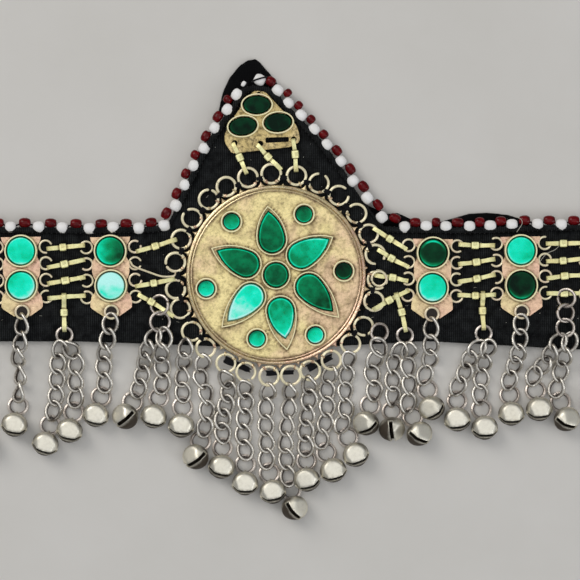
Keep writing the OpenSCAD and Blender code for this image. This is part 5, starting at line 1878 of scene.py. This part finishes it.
CHAINS = {"left": DROPS[:9], "middle": DROPS[9:19], "right": DROPS[19:]}
luck = random.Random(3)
for name, drops in CHAINS.items():
    paths, rolls, girths = [], [], []
    for drop in drops:
        route = [p if len(p) == 3 else (*p, CHAIN_LOW) for p in drop[5]]
        route.append(beyond_ring(drop, 2 * JUMP_R + LAST_LINK))
        path = smooth_path(route, 10)
        path = path[np.linalg.norm(path - path[0], axis=1) >= FIRST_LINK]
        waves = np.sin(np.linspace(0, math.pi * luck.choice([1, 2, 3]), len(path)))
        path[:, 0] += SWAY * waves * luck.choice([-1, 1])
        rolls.append(ROLLS.get(DROPS.index(drop), luck.uniform(-12, 12)))
        path[:, 2] = np.maximum(path[:, 2] - 0.1, resting_height(rolls[-1]))
        paths.append(path)
        girths.append(luck.uniform(0.97, 1.03))
    source = paths_mesh(paths, rolls, girths)
    shape, darkening = repeated(along_paths, source, curb_link(), LINK_PITCH, 20, 4, chain_silver)
    work = Workpiece().add(shape, 0, 0.2, darkening)
    fit(f"chains_{name}_links", work, [chain_silver], [f"chains_{name}"], 180)

# %% [markdown]
# ## Small finds
# Hand work leaves traces: a link next to the medallion was once replaced by a bent wire, and a wire
# loop was added on the other side.

# %% Bent wire and loop
BENT_WIRE = [(-43.6, 3.9, 4.0), (-42.6, 2.6, 4.3), (-38.5, 1.0, 4.2), (-34.2, -0.4, 4.3), (-30.8, -0.3, 4.1),
             (-30.0, 0.7, 3.2)]
ADDED_LOOP_R, ADDED_LOOP_PLACE = 2.2, (30.9, -1.1, 4.55)
odd = Workpiece()
odd.add(wire(smooth_path(BENT_WIRE, 6), 0.3), 0, 0.2, 0.05)
odd.add(placed(ring(ADDED_LOOP_R, 0.34, 16, 200, 0.4, 26), ADDED_LOOP_PLACE, (4, -6, 0)), 0, 0.2, 0.05)
fit("mended_wires", odd, [wire_brass])

# %% [markdown]
# A few pale threads hang loose, and specks of lint cling to the cloth. They are strewn at random over
# the band, but not under the medallion.

# %% Threads and lint
LOOSE_THREADS = [[(71.6, 17.6, 4.6), (73.4, 16.6, 5.3), (73.6, 15.2, 5.4), (72.2, 12.9, 4.5)],
                 [(79.2, 3.9, 3.0), (81.2, 6.4, 3.6), (83.8, 7.6, 3.5), (85.8, 9.6, 3.0)]]
FLECK_LINE = [(0, 0, -0.3), (0.08, 0.04, 0), (0, 0.02, 0.3)]
FLECKS = 80
threads = Workpiece()
for points in LOOSE_THREADS:
    threads.add(wire(smooth_path(points, 5), 0.09, 5))
fleck = Workpiece().add(wire(smooth_path(FLECK_LINE, 2), 0.05, 4)).mesh("fleck", [pale_thread], 60)
luck = random.Random(12)
centres, headings, sizes = [], [], []
while len(centres) < FLECKS:
    px, py = luck.uniform(-118, 118), luck.uniform(-19, 50)
    low, high = np.interp(px, *BOTTOM_LINE.T) + 1, np.interp(px, *TOP_LINE.T) - 1.5
    if not low < py < high or math.hypot(px, py) < 28:
        continue
    centres.append((px, py, CLOTH_TOP + 0.14))
    turn = luck.uniform(0, math.pi)
    headings.append((math.cos(turn), math.sin(turn), luck.uniform(-0.2, 0.2)))
    sizes.append((luck.uniform(0.7, 1.5),) * 2 + (luck.choice([0.3, 0.4, 0.6, 1.2]),))
threads.add(repeated(on_points, spots_mesh(centres, headings, sizes), fleck, 1, 180, 2, pale_thread)[0])
fit("threads_and_lint", threads, [pale_thread], sharp=60)
